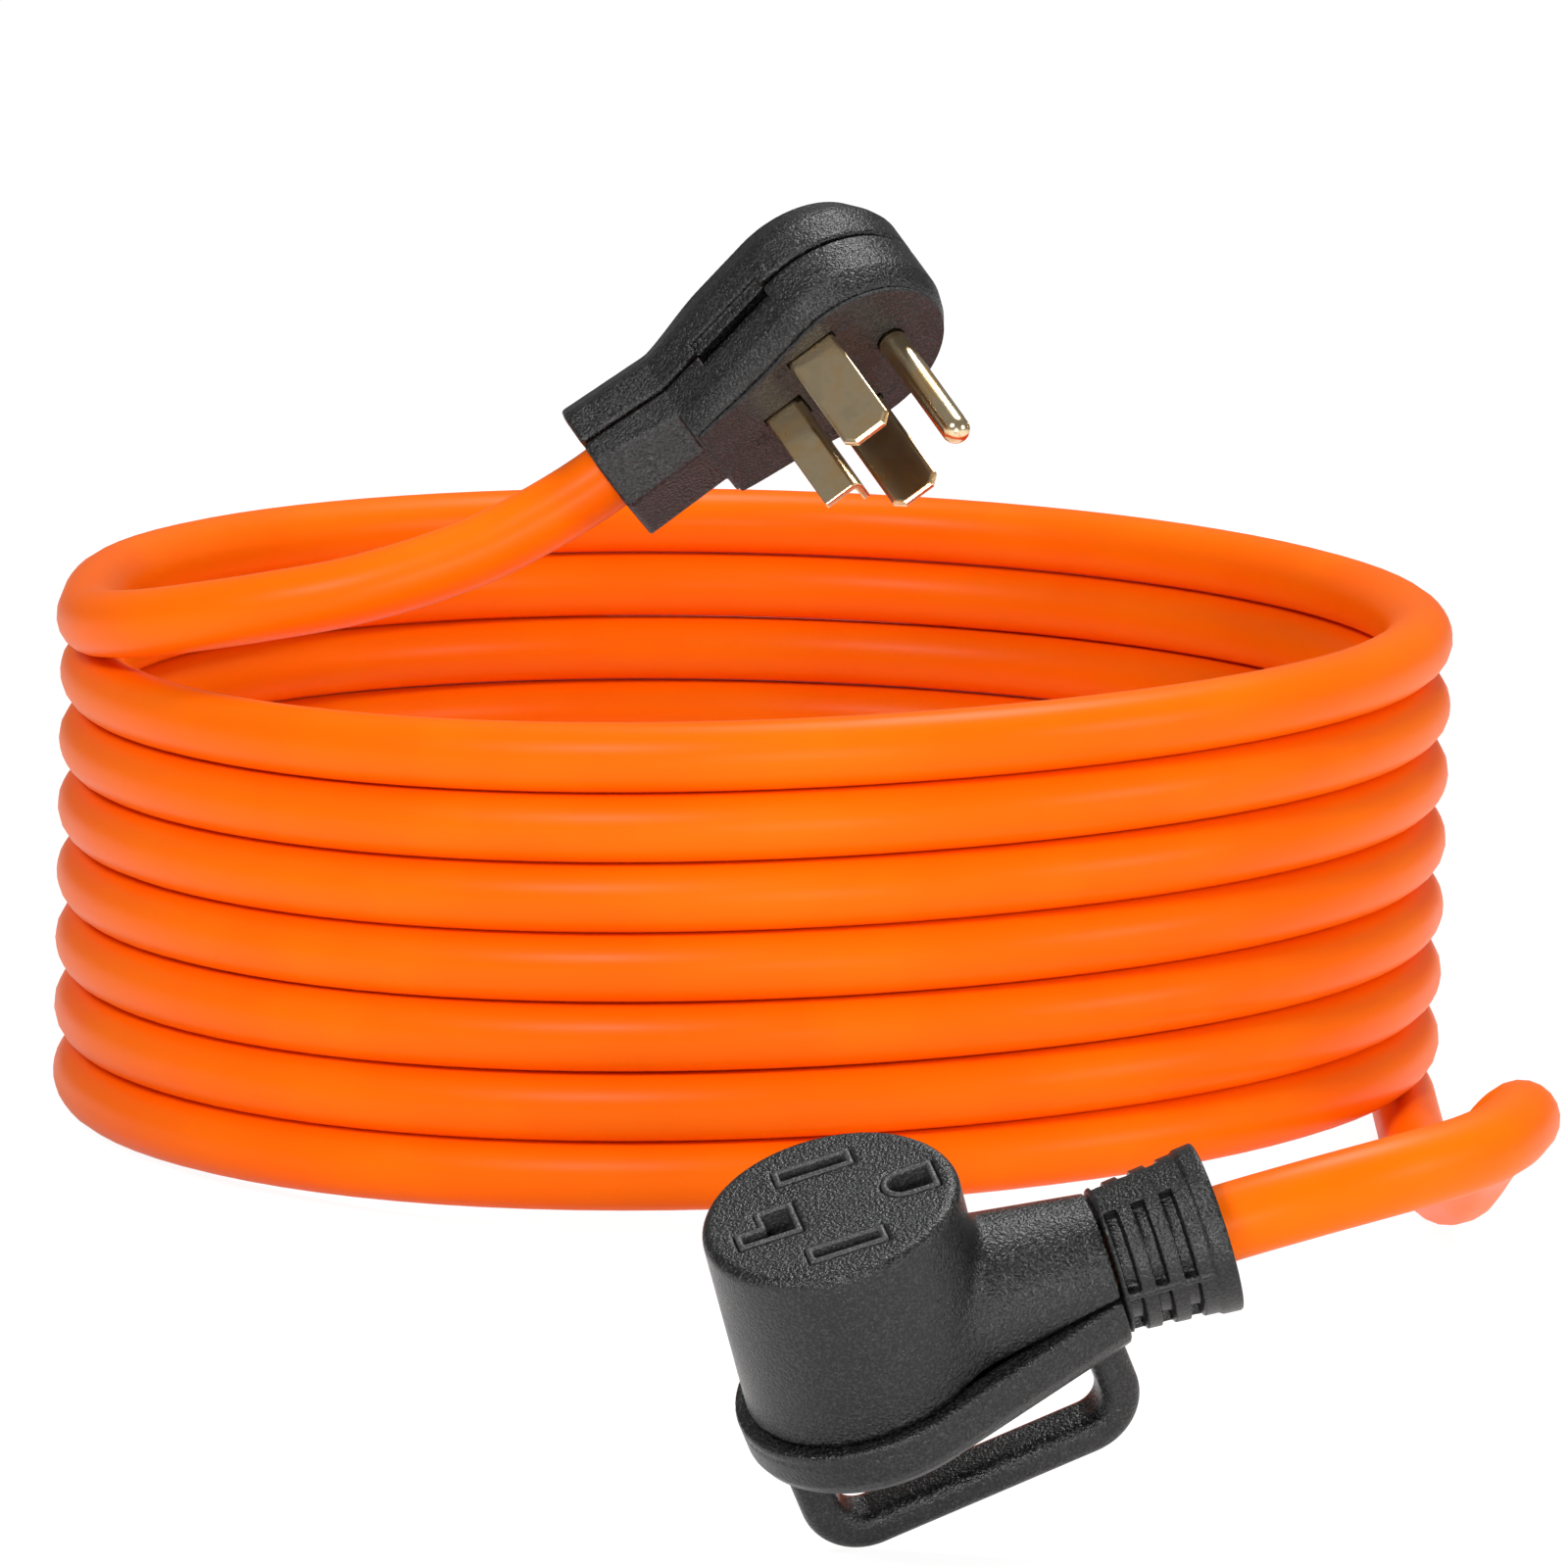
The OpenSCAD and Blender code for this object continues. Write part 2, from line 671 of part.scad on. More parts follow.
// The hard block that holds the four contacts; its slot rims show flush in the face
module connector_socket_block() {
    color("#4a4a4a") at_connector() difference() {
        union() {
            translate([0, 0, -block_depth])
                cylinder(h = block_depth - face_skin - fit, r = face_r - housing_wall - fit);
            translate([0, 0, -face_skin - fit]) linear_extrude(face_skin + fit) rims(0);
        }
        translate([0, 0, -slot_depth - 1]) linear_extrude(slot_depth + 2) slots();
        for (c = contacts)
            translate([c.x, c.y, -block_depth - 1])
                slab([-c[2] / 2 - 0.5, -c[3] / 2 - spring_t - 0.8, 0],
                    [c[2] / 2 + 0.5, c[3] / 2 + spring_t + 0.8, block_depth + 1 - slot_depth]);
    }
}

// Contacts: place on X and Y, width along X, and the blade's thickness between the springs
contacts = [[0, -line_spacing / 2, blade_w, blade_t], [0, line_spacing / 2, blade_w, blade_t],
    [-neutral_x, 0, neutral_along, neutral_across], [ground_x, 0, ground_d, ground_d]];

// A sprung clip of two leaves with a foot that reaches down to its crimp
module contact(c) {
    low = -slot_depth - spring_l - 1;
    color("#d0a968") at_connector() translate([c.x, c.y, 0]) {
        for (side = [0, 1]) mirror([0, side, 0])
            slab([-c[2] / 2, c[3] / 2, low], [c[2] / 2, c[3] / 2 + spring_t, -slot_depth - 1]);
        slab([-c[2] / 2, -c[3] / 2 - spring_t, low - spring_t],
            [c[2] / 2, c[3] / 2 + spring_t, low]);
        slab([-crimp_l / 3, -crimp_r / 2, -connector_crimp_z + crimp_r],
            [crimp_l / 3, crimp_r / 2, low]);
    }
}

module line_contact_x() {
    contact(contacts[0]);
}

module line_contact_y() {
    contact(contacts[1]);
}

module neutral_contact() {
    contact(contacts[2]);
}

module ground_contact() {
    contact(contacts[3]);
}

module connector_crimps() {
    color("#b9b4a6") at_connector() for (c = contacts)
        translate([c.x, c.y, -connector_crimp_z])
            x_cylinder(-crimp_l / 2, crimp_l / 2, crimp_r, crimp_r);
}

function connector_crimp_end(i) =
    [contacts[i].x + crimp_l / 2, contacts[i].y, -connector_crimp_z];

function connector_wire_from(y, z) = [relief_end - connector_root_l, y, z - arm_axis];

module connector_wire(path) {
    at_connector() tube(path, directions(path, [-1, 0, 0], [-1, 0, 0]), wire_d / 2, wire_sides);
}

module connector_wire_black() {
    color("#161616") connector_wire(
        s_path(connector_wire_from(-wire_circle, 0), connector_crimp_end(0), 6));
}

module connector_wire_red() {
    color("#b3201c") connector_wire(
        s_path(connector_wire_from(wire_circle, 0), connector_crimp_end(1), 6));
}

module connector_wire_white() {
    start = connector_wire_from(0, -wire_circle);
    low = [ground_x + crimp_l / 2 + 2, 0, -connector_crimp_z - white_drop];
    flat = [ground_x - crimp_l / 2 - 2, 0, low.z];
    color("#e8e6e0") connector_wire(concat(s_path(start, low, 4),
        [for (i = [0 : 5]) s_path(flat, connector_crimp_end(2), 5)[i]]));
}

module connector_wire_green() {
    color("#2f7d3a") connector_wire(
        s_path(connector_wire_from(0, wire_circle), connector_crimp_end(3), 5));
}

module connector_cord_root() {
    color("#ff6e05") at_connector() translate([0, 0, -arm_axis])
        x_cylinder(relief_end - connector_root_l, relief_end, cord_d / 2, cord_d / 2);
}

cord_coil();
cord_plug_tail();
cord_connector_tail();
plug_back_shell();
plug_front_shell();
plug_blade_plate();
line_blade_x();
line_blade_y();
neutral_blade();
ground_pin();
plug_crimps();
plug_wire_black();
plug_wire_red();
plug_wire_white();
plug_wire_green();
plug_cord_root();
connector_housing();
connector_back_cover();
connector_pull_handle();
connector_strain_relief();
connector_socket_block();
line_contact_x();
line_contact_y();
neutral_contact();
ground_contact();
connector_crimps();
connector_wire_black();
connector_wire_red();
connector_wire_white();
connector_wire_green();
connector_cord_root();
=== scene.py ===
"""A thick orange shore power cord wound in a column of turns, with a black right-angle plug
above it and a black right-angle connector with a pull handle in front of it."""

import json
import math

import bpy
import numpy as np
from mathutils import Matrix


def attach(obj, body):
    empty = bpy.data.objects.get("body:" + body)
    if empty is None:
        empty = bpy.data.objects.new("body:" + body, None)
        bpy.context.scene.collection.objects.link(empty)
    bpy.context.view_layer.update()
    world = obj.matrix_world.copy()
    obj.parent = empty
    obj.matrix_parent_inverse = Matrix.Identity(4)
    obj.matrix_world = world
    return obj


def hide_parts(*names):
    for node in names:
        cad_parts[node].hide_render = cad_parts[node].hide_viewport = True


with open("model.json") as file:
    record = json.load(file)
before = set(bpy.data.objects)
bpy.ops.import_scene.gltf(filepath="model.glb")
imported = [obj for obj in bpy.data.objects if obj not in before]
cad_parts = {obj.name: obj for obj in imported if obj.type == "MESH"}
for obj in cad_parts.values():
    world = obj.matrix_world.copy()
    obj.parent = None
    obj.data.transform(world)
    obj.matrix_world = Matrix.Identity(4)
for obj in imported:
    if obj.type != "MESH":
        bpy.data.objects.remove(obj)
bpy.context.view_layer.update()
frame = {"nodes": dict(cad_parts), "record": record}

MM = 0.001

# ---------------------------------------------------------------- camera
# A long lens on the coil's axis, looking a little down and tilted by a degree and a half.
# It stands still and is turned so that the middle of the frame falls where it should.
# FOCAL and BASE_PX are in pixels of the frame and FAR_LIMIT is in metres. Lengths are in
# millimetres from here on, where nothing else is said.
COIL_AT = np.array([-29, 304.4, 0.0])
FRAME_PX, SENSOR, FAR_LIMIT = 1600, 36, 50
FOCAL, DISTANCE = 12963.4, 3214.0
DOWN, ROLL = math.radians(10.822), math.radians(1.536)
BASE_PX = (759.19, 1134.23)

ahead = np.array([0, math.cos(DOWN), -math.sin(DOWN)])
right = np.array([1.0, 0, 0])
above = np.array([0, math.sin(DOWN), math.cos(DOWN)])
image_x = math.cos(ROLL) * right + math.sin(ROLL) * above
image_y = math.cos(ROLL) * above - math.sin(ROLL) * right
look = (
    FOCAL * ahead
    + (FRAME_PX / 2 - BASE_PX[0]) * image_x
    + (BASE_PX[1] - FRAME_PX / 2) * image_y
)
look /= np.linalg.norm(look)
image_x -= look * (image_x @ look)
image_x /= np.linalg.norm(image_x)
image_y = np.cross(image_x, look)
eye = (COIL_AT - DISTANCE * ahead) * MM


def placed(axes, at):
    """The matrix of an object with these three axes, at a place in metres."""
    return Matrix([[*row, e] for row, e in zip(np.array(axes).T, at)] + [[0, 0, 0, 1]])


camera_data = bpy.data.cameras.new("camera")
camera_data.lens = FOCAL * SENSOR / FRAME_PX
camera_data.sensor_width = SENSOR
camera_data.clip_end = FAR_LIMIT
camera = bpy.data.objects.new("camera", camera_data)
camera.matrix_world = placed([image_x, image_y, -look], eye)
bpy.context.scene.collection.objects.link(camera)
bpy.context.scene.camera = camera
bpy.context.scene.view_settings.view_transform = "Standard"

# ---------------------------------------------------------------- the cord
# Four copper wires in one thick jacket of orange vinyl, in one length from the connector,
# round seven and a half turns, to the plug. The turns are flat at the back and climb
# through the front.
CORD_D, JACKET_D = 16.5, 16.86
COIL_R = 166.3
TURNS, TURN_GAP = 7.5, 0.45
PITCH = CORD_D + TURN_GAP
PLUG_TURN = (135, -38, 4)
CONNECTOR_TURN = (20, -18, 8)
CLIMB_FROM, CLIMB_TO, CLIMB_EASE = 195, 346, 0.6
TURN_STEP, TAIL_STEPS = 4.0, 6


def coil_height(angle):
    """Height of the cord's middle at an angle in degrees. Within each turn it climbs by
    the pitch times t - ease sin(2 pi t) / 2 pi, where t runs from 0 to 1 over the climb."""
    t = np.clip((angle % 360 - CLIMB_FROM) / (CLIMB_TO - CLIMB_FROM), 0, 1)
    rise = t - CLIMB_EASE * np.sin(2 * np.pi * t) / (2 * np.pi)
    return CORD_D / 2 + PITCH * (np.floor(angle / 360) + rise)


COIL_START = np.array([COIL_R, -CORD_D, CORD_D / 2])
COIL_END = np.array([-COIL_R, -CORD_D, float(coil_height(np.array(TURNS * 360.0)))])
PLUG_ROUTE = [
    (0, 0, 0), (1, -20, 0), (6, -39, 2), (16, -56, 5), (30, -69, 9),
    (46, -77, 13), (67, -81, 18), (89, -80, 25), (107, -77, 33), (129, -74, 47),
]
CONNECTOR_ROUTE = [
    (-65, -484, 73.6), (-46, -480, 79), (-27, -471, 83), (-11, -456, 85),
    (-2, -440, 86), (3, -420, 86), (4, -396, 82), (3, -378, 77), (2, -353, 69.5),
    (2, -323, 61), (2, -291, 52), (2, -257, 42), (2, -224, 33), (1, -189, 25),
    (1, -156, 19), (1, -122, 14), (1, -95, 11), (0, -60, 9), (0, -30, 8.5),
    (0, 0, CORD_D / 2),
]


def turned(turn):
    """The matrix that turns about X, then Y, then Z, by degrees: Rz Ry Rx."""
    x, y, z = np.radians(turn)
    rx = [[1, 0, 0], [0, math.cos(x), -math.sin(x)], [0, math.sin(x), math.cos(x)]]
    ry = [[math.cos(y), 0, math.sin(y)], [0, 1, 0], [-math.sin(y), 0, math.cos(y)]]
    rz = [[math.cos(z), -math.sin(z), 0], [math.sin(z), math.cos(z), 0], [0, 0, 1]]
    return np.array(rz) @ np.array(ry) @ np.array(rx)


def smooth_route(points, first, last, steps):
    """A route through every point, with given directions at its ends. From a to b it is
    (2t^3 - 3t^2 + 1) a + (t^3 - 2t^2 + t) a' + (3t^2 - 2t^3) b + (t^3 - t^2) b', where a'
    and b' are half the way between each point's neighbours."""
    p = np.array(points, float)
    slope = np.zeros_like(p)
    slope[1:-1] = (p[2:] - p[:-2]) / 2
    slope[0] = np.array(first) * np.linalg.norm(p[1] - p[0])
    slope[-1] = np.array(last) * np.linalg.norm(p[-1] - p[-2])
    t = np.linspace(0, 1, steps, endpoint=False)[:, None]
    parts = [
        (2 * t**3 - 3 * t**2 + 1) * a
        + (t**3 - 2 * t**2 + t) * sa
        + (3 * t**2 - 2 * t**3) * b
        + (t**3 - t**2) * sb
        for a, b, sa, sb in zip(p[:-1], p[1:], slope[:-1], slope[1:])
    ]
    return np.vstack([*parts, p[-1:]])


plug_m = turned(PLUG_TURN)
connector_m = turned(CONNECTOR_TURN)
plug_at = COIL_AT + COIL_END + PLUG_ROUTE[-1]
connector_at = COIL_AT + [COIL_START[0], COIL_START[1], 0] + CONNECTOR_ROUTE[0]
plug_tail = smooth_route(
    COIL_END + np.array(PLUG_ROUTE), (0, -1, 0), plug_m[:, 0], TAIL_STEPS
)
connector_tail = smooth_route(
    np.array(CONNECTOR_ROUTE) + [COIL_START[0], COIL_START[1], 0],
    connector_m[:, 0], (0, 1, 0), TAIL_STEPS,
)
angles = np.arange(0, TURNS * 360 + 1, TURN_STEP)
around = np.radians(angles)
turns_line = np.column_stack(
    [COIL_R * np.cos(around), COIL_R * np.sin(around), coil_height(angles)]
)
route = (np.vstack([connector_tail, turns_line, plug_tail]) + COIL_AT) * MM


def linear(code):
    """An sRGB hex colour as linear values."""
    v = np.array([int(code[i : i + 2], 16) for i in (1, 3, 5)]) / 255
    return (*np.where(v < 0.04045, v / 12.92, ((v + 0.055) / 1.055) ** 2.4), 1.0)


def add(tree, kind, inputs=(), **settings):
    """A shader node with its settings, and its inputs as values or as links."""
    made = tree.nodes.new(kind)
    for name, value in settings.items():
        setattr(made, name, value)
    for name, value in dict(inputs).items():
        if isinstance(value, bpy.types.NodeSocket):
            tree.links.new(value, made.inputs[name])
        else:
            made.inputs[name].default_value = value
    return made


def material(name, base):
    """A material with its tree, its main shader and its object coordinates."""
    made = bpy.data.materials.new(name)
    made.use_nodes = True
    tree = made.node_tree
    shader = tree.nodes["Principled BSDF"]
    shader.inputs["Base Color"].default_value = linear(base)
    place = add(tree, "ShaderNodeTexCoord").outputs["Object"]
    return made, tree, shader, place


def noise(tree, place, scale, detail=2.0):
    """Smooth noise from 0 to 1, with so many features to the metre."""
    return add(
        tree, "ShaderNodeTexNoise", {"Vector": place, "Scale": scale, "Detail": detail}
    ).outputs["Fac"]


def blend_colour(tree, factor, a, b):
    """Two hex colours mixed by a factor."""
    return add(
        tree, "ShaderNodeMix", {0: factor, 6: linear(a), 7: linear(b)}, data_type="RGBA"
    ).outputs[2]


def spread(tree, value, low, high, to_low, to_high):
    """A value taken from one range to another."""
    return add(
        tree, "ShaderNodeMapRange",
        {"Value": value, "From Min": low, "From Max": high,
         "To Min": to_low, "To Max": to_high},
    ).outputs["Result"]


def uneven(tree, height, strength, depth, normal=None):
    """A bump of some strength and depth in metres, on top of another one if there is one."""
    inputs = {"Height": height, "Strength": strength, "Distance": depth}
    if normal is not None:
        inputs["Normal"] = normal
    return add(tree, "ShaderNodeBump", inputs).outputs["Normal"]


def jacket(name):
    """Orange vinyl: smooth and a little waxy, with faint long waves and scuffs."""
    made, tree, shader, place = material(name, "#ff6a04")
    wave = noise(tree, place, 25, 3)
    colour = blend_colour(tree, spread(tree, wave, 0.42, 0.66, 0, 1), "#ff6a00", "#ff7000")
    tree.links.new(colour, shader.inputs["Base Color"])
    rough = spread(tree, wave, 0.3, 0.7, 0.34, 0.42)
    tree.links.new(rough, shader.inputs["Roughness"])
    soft = uneven(tree, wave, 0.06, 0.001)
    fine = uneven(tree, noise(tree, place, 900, 4), 0.1, 0.00015, soft)
    tree.links.new(fine, shader.inputs["Normal"])
    shader.inputs["Specular IOR Level"].default_value = 0.1
    return made


orange_vinyl = jacket("orange_vinyl")
line = bpy.data.curves.new("power_cord", "CURVE")
line.dimensions = "3D"
line.bevel_depth = 1.0
line.bevel_resolution = 8
line.use_fill_caps = True
spline = line.splines.new("POLY")
spline.points.add(len(route) - 1)
spline.points.foreach_set("co", np.column_stack([route, np.ones(len(route))]).ravel())
spline.points.foreach_set("radius", np.full(len(route), JACKET_D / 2 * MM))
spline.use_smooth = True
power_cord = bpy.data.objects.new("power_cord", line)
bpy.context.scene.collection.objects.link(power_cord)
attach(power_cord, "root")
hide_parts("cord_coil", "cord_plug_tail", "cord_connector_tail")
line.materials.append(orange_vinyl)

# ---------------------------------------------------------------- the plug's shells
# Two halves of black moulded vinyl with a groove between them, a recess for the fingers
# on each flank, and a neck whose front edges are cut off by two large chamfers. They are
# worked out as distance fields, so that every edge is rounded as a mould leaves it.
FIT, CORD_FIT = 0.15, 0.25
BORE_R = CORD_D / 2 + CORD_FIT
HEAD_R, HEAD_X = 26, 7.5
NECK_HALF, END_HALF, PAST_END, PAST_HALF = 15, 17, 28, 19.3
PLUG_END, PLUG_DEPTH, AXIS = 58.5, 36, 18
PLATE_STEP, PLATE_H, PLATE_INSET, PLATE_LOW = -34.5, 1.2, 2.6, -5.8
NECK_FROM, NECK_RUN = -14, 20
CHAMFER, NECK_STEP, NECK_WALL = 7.8, 0.8, 3
WALL, END_WALL, END_HOLE = 4.5, 4, 5
SHELL_EDGE, END_EDGE = 0.7, 1.2
RECESS = (-23, -0.5)
# Two heights and a depth
BACK_RECESS, FRONT_RECESS = (-21.5, -17, 1.3), (-19, -13.8, 3.2)
RIM_W, RIM_OUT, RIM_DEEP, RIM_LOW = 3, 0.5, 2, -23
PLUG_STEP = 0.5
# Each level's height, and how far the outline is drawn in there
BACK_LEVELS = [(-PLUG_DEPTH, 7), (-34.5, 4), (-29.5, 1), (-27, 0), (-18.4, 0)]
FRONT_LEVELS = [(-17.6, 0), (-7, 0), (-3, 1.2), (-PLATE_H, PLATE_INSET)]
BACK_FLARE, FRONT_FLARE = 1.6, 0.4


def net(f, low, step):
    """The surface where a field sampled on a grid is zero: points and four-sided faces.
    A grid edge from a to b with a change of sign is crossed at a / (a - b) of its length.
    Each cell's point is the mean of the crossings on its edges, and each crossed edge is
    one face between the points of the four cells round it."""
    shape = np.array(f.shape) - 1
    strides = np.array([shape[1] * shape[2], shape[2], 1])
    total = np.zeros((int(shape.prod()), 3))
    count = np.zeros(int(shape.prod()))
    faces = []
    for axis in range(3):
        u, v = (axis + 1) % 3, (axis + 2) % 3
        first = [slice(None)] * 3
        second = [slice(None)] * 3
        first[axis], second[axis] = slice(0, -1), slice(1, None)
        a, b = f[tuple(first)], f[tuple(second)]
        at = np.argwhere((a < 0) != (b < 0))
        va, vb = a[tuple(at.T)], b[tuple(at.T)]
        point = at.astype(float)
        point[:, axis] += va / (va - vb)
        around_edge = []
        for du, dv in ((0, 0), (-1, 0), (-1, -1), (0, -1)):
            cell = at.copy()
            cell[:, u] += du
            cell[:, v] += dv
            around_edge.append(cell @ strides)
        for flat in around_edge:
            count += np.bincount(flat, minlength=len(count))
            for k in range(3):
                total[:, k] += np.bincount(flat, point[:, k], len(count))
        quads = np.column_stack(around_edge)
        quads[va >= 0] = quads[va >= 0][:, ::-1]
        faces.append(quads)
    used = np.flatnonzero(count)
    index = np.zeros(len(count), np.int64)
    index[used] = np.arange(len(used))
    points = total[used] / count[used][:, None] * step + low
    return points, index[np.vstack(faces)]


def grid(low, high, step):
    """Open coordinate arrays that cover a box, with a margin of two steps."""
    low = np.array(low, float) - 2 * step
    size = np.ceil((np.array(high, float) + 2 * step - low) / step).astype(int) + 1
    x, y, z = (low[k] + step * np.arange(size[k]) for k in range(3))
    return low, x[:, None, None], y[None, :, None], z[None, None, :]


def moulding(name, field, low, step, to_world, node, finish):
    """A piece whose surface is where the field is zero, standing for one solid."""
    points, faces = net(np.ascontiguousarray(field), low, step)
    mesh = bpy.data.meshes.new(name)
    mesh.vertices.add(len(points))
    mesh.vertices.foreach_set("co", (to_world(points) * MM).ravel())
    mesh.loops.add(faces.size)
    mesh.loops.foreach_set("vertex_index", faces.ravel().astype(np.int32))
    mesh.polygons.add(len(faces))
    mesh.polygons.foreach_set("loop_start", np.arange(len(faces)) * 4)
    mesh.update(calc_edges=True)
    mesh.shade_smooth()
    mesh.materials.append(finish)
    piece = bpy.data.objects.new(name, mesh)
    bpy.context.scene.collection.objects.link(piece)
    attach(piece, "root")
    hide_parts(node)
    return piece


def outline_distance(points, x, y):
    """Signed distance on the plane from a closed outline, negative inside: the least of
    |p - a - t (b - a)| over its sides, with t = (p - a)(b - a) / |b - a|^2 kept in 0..1."""
    px, py = np.broadcast_arrays(x[:, :, 0], y[:, :, 0])
    best = np.full(px.shape, np.inf)
    inside = np.zeros(px.shape, bool)
    for (ax, ay), (bx, by) in zip(points, np.roll(points, -1, axis=0)):
        ex, ey = bx - ax, by - ay
        t = np.clip(((px - ax) * ex + (py - ay) * ey) / (ex * ex + ey * ey), 0, 1)
        best = np.minimum(best, np.hypot(px - ax - t * ex, py - ay - t * ey))
        if ay != by:
            inside ^= ((py < ay) != (py < by)) & (px < ax + (py - ay) * ex / ey)
    return np.where(inside, -best, best)[:, :, None]


def rounded(a, b, radius):
    """Where two fields overlap, with their shared edge rounded: with p = a + r and
    q = b + r, it is min(max(p, q), 0) + |(max(p, 0), max(q, 0))| - r."""
    p, q = a + radius, b + radius
    return np.minimum(np.maximum(p, q), 0) + np.hypot(
        np.maximum(p, 0), np.maximum(q, 0)
    ) - radius


def slab(x, low, high):
    """The field of the space between two values of a coordinate: |x - middle| - half."""
    return np.abs(x - (low + high) / 2) - (high - low) / 2


def both(*fields):
    """Where all the fields overlap: their greatest value."""
    out = fields[0]
    for field in fields[1:]:
        out = np.maximum(out, field)
    return out


def teardrop(radius, head_x, necks, count=72):
    """A round head with straight sides to a neck and on to an end, both on -X. The sides
    touch the head at atan2(half, nx - head_x) - acos(radius / distance) from +X."""
    nx, half = necks[0]
    tip = math.atan2(half, nx - head_x) - math.acos(radius / math.hypot(nx - head_x, half))
    turn = np.linspace(-tip, tip, count)
    head = np.column_stack([head_x + radius * np.cos(turn), radius * np.sin(turn)])
    lower = [(x, -h) for x, h in reversed(necks)]
    return np.vstack([lower, head, necks])


def moulded(name, base, light, roughness, grain, depth):
    """Vinyl cast in an etched mould: speckled paler on its high spots. The real grain is
    about a quarter of a millimetre and wouldn't show, so it is drawn coarser."""
    made, tree, shader, place = material(name, base)
    speck = noise(tree, place, grain)
    patch = noise(tree, place, 60, 4)
    colour = blend_colour(tree, spread(tree, speck, 0.45, 0.7, 0, 1), base, light)
    tree.links.new(colour, shader.inputs["Base Color"])
    rough = spread(tree, patch, 0.3, 0.7, roughness - 0.05, roughness + 0.07)
    tree.links.new(rough, shader.inputs["Roughness"])
    tree.links.new(uneven(tree, speck, 1.0, depth), shader.inputs["Normal"])
    return made


black_vinyl = moulded("grained_black_vinyl", "#0a0a0a", "#303030", 0.29, 1500, 0.0004)
# The outline goes on past the plug's end, where a plane cuts it off
PLUG_OUTLINE = teardrop(
    HEAD_R, HEAD_X,
    [(PLATE_STEP, NECK_HALF), (-PLUG_END, END_HALF), (-PLUG_END - PAST_END, PAST_HALF)],
)


def plug_world(points):
    """From the plug's own frame, whose origin is amid the blades on the contact face."""
    return (points + [PLUG_END, 0, AXIS]) @ plug_m.T + plug_at


def neck_share(x):
    """0 on the head and 1 on the neck: s^2 (3 - 2s), where s runs from 0 to 1."""
    s = np.clip((NECK_FROM - x) / NECK_RUN, 0, 1)
    return s * s * (3 - 2 * s)


def plug_half(levels, flare):
    """A grid for the half of the plug between its levels, the half's outside with the
    cord's hole, and the distance from the outline."""
    low, x, y, z = grid(
        (-PLUG_END, -HEAD_R - 1, levels[0][0]),
        (HEAD_X + HEAD_R + 0.5, HEAD_R + 1, levels[-1][0]), PLUG_STEP,
    )
    d2 = outline_distance(PLUG_OUTLINE, x, y)
    height, inset = np.array(levels, float).T
    drawn_in = np.interp(z, height, inset) * (1 + (flare - 1) * neck_share(x))
    body = rounded(d2 + drawn_in, slab(z, height[0], height[-1]), SHELL_EDGE)
    body = rounded(body, -PLUG_END - x, END_EDGE)
    hole = both(np.hypot(y, z + AXIS) - BORE_R, x + PLUG_END - END_HOLE)
    return low, x, y, z, both(body, -hole), d2


def finger_recess(x, z, d2, low, high, deep):
    """The recess in the flanks, between two heights and cut to a depth."""
    return both(slab(x, *RECESS), slab(z, low, high), -deep - d2)


low, x, y, z, body, d2 = plug_half(BACK_LEVELS, BACK_FLARE)
rims = np.minimum(
    slab(x, RECESS[0] - RIM_W, RECESS[0]), slab(x, RECESS[1], RECESS[1] + RIM_W)
)
rims = both(rims, slab(z, RIM_LOW, BACK_LEVELS[-1][0]), d2 - RIM_OUT, -RIM_DEEP - d2)
body = both(np.minimum(body, rims), -finger_recess(x, z, d2, *BACK_RECESS))
cavity = both(d2 + WALL, WALL - PLUG_DEPTH - z, END_WALL - PLUG_END - x)
plug_back = moulding(
    "plug_back", both(body, -cavity), low, PLUG_STEP, plug_world,
    "plug_back_shell", black_vinyl,
)

low, x, y, z, body, d2 = plug_half(FRONT_LEVELS, FRONT_FLARE)
body = both(body, -finger_recess(x, z, d2, *FRONT_RECESS))
chamfer = (np.abs(y) - NECK_HALF + z + PLATE_H + CHAMFER) / math.sqrt(2)
head_side = PLATE_STEP - NECK_STEP - x
body = both(body, np.minimum(chamfer, head_side))
cavity = both(d2 + WALL, z - PLATE_LOW, END_WALL - PLUG_END - x)
cavity = both(cavity, np.minimum(chamfer + NECK_WALL, head_side))
opening = both(d2 + WALL, PLATE_STEP + WALL - x)
plug_front = moulding(
    "plug_front", both(body, -cavity, -opening), low, PLUG_STEP, plug_world,
    "plug_front_shell", black_vinyl,
)

# ---------------------------------------------------------------- the blade plate
# A hard moulded plate that holds the blades: it stands a little out of the front shell.
# A ring is let in round the pin, and a small window beside the ends of each blade.
hard_plastic = moulded("hard_dark_plastic", "#161616", "#3c3c3c", 0.46, 1500, 0.0008)
LINE_Y, GROUND_X, NEUTRAL_X = 16, 16.8, -14.2
PLATE_EDGE, PLATE_GRID, BOSS_TOP = 0.5, 0.34, -1
PIN_HOLE_R, BLADE_HOLE, HOLE_W = 3.6, 13.7, 2.6
NEUTRAL_HOLE, NEUTRAL_HOLE_Y, LEG_HOLE, LEG_HOLE_X = 10.7, 2.95, 8.5, 4.05
RING_R, RING_GAP, MARK_HALF, MARK_DEEP = 5.8, 2.6, 0.22, 0.35
WINDOW = (3.4, 2.3)
WINDOWS = [(-9.2, LINE_Y), (9.2, LINE_Y), (-9.2, -LINE_Y), (9.2, -LINE_Y),
           (-22.5, -1.5), (-12, 9)]


def box2(x, y, cx, cy, wide, tall):
    """The field of a rectangle on the face."""
    return both(np.abs(x - cx) - wide / 2, np.abs(y - cy) - tall / 2)


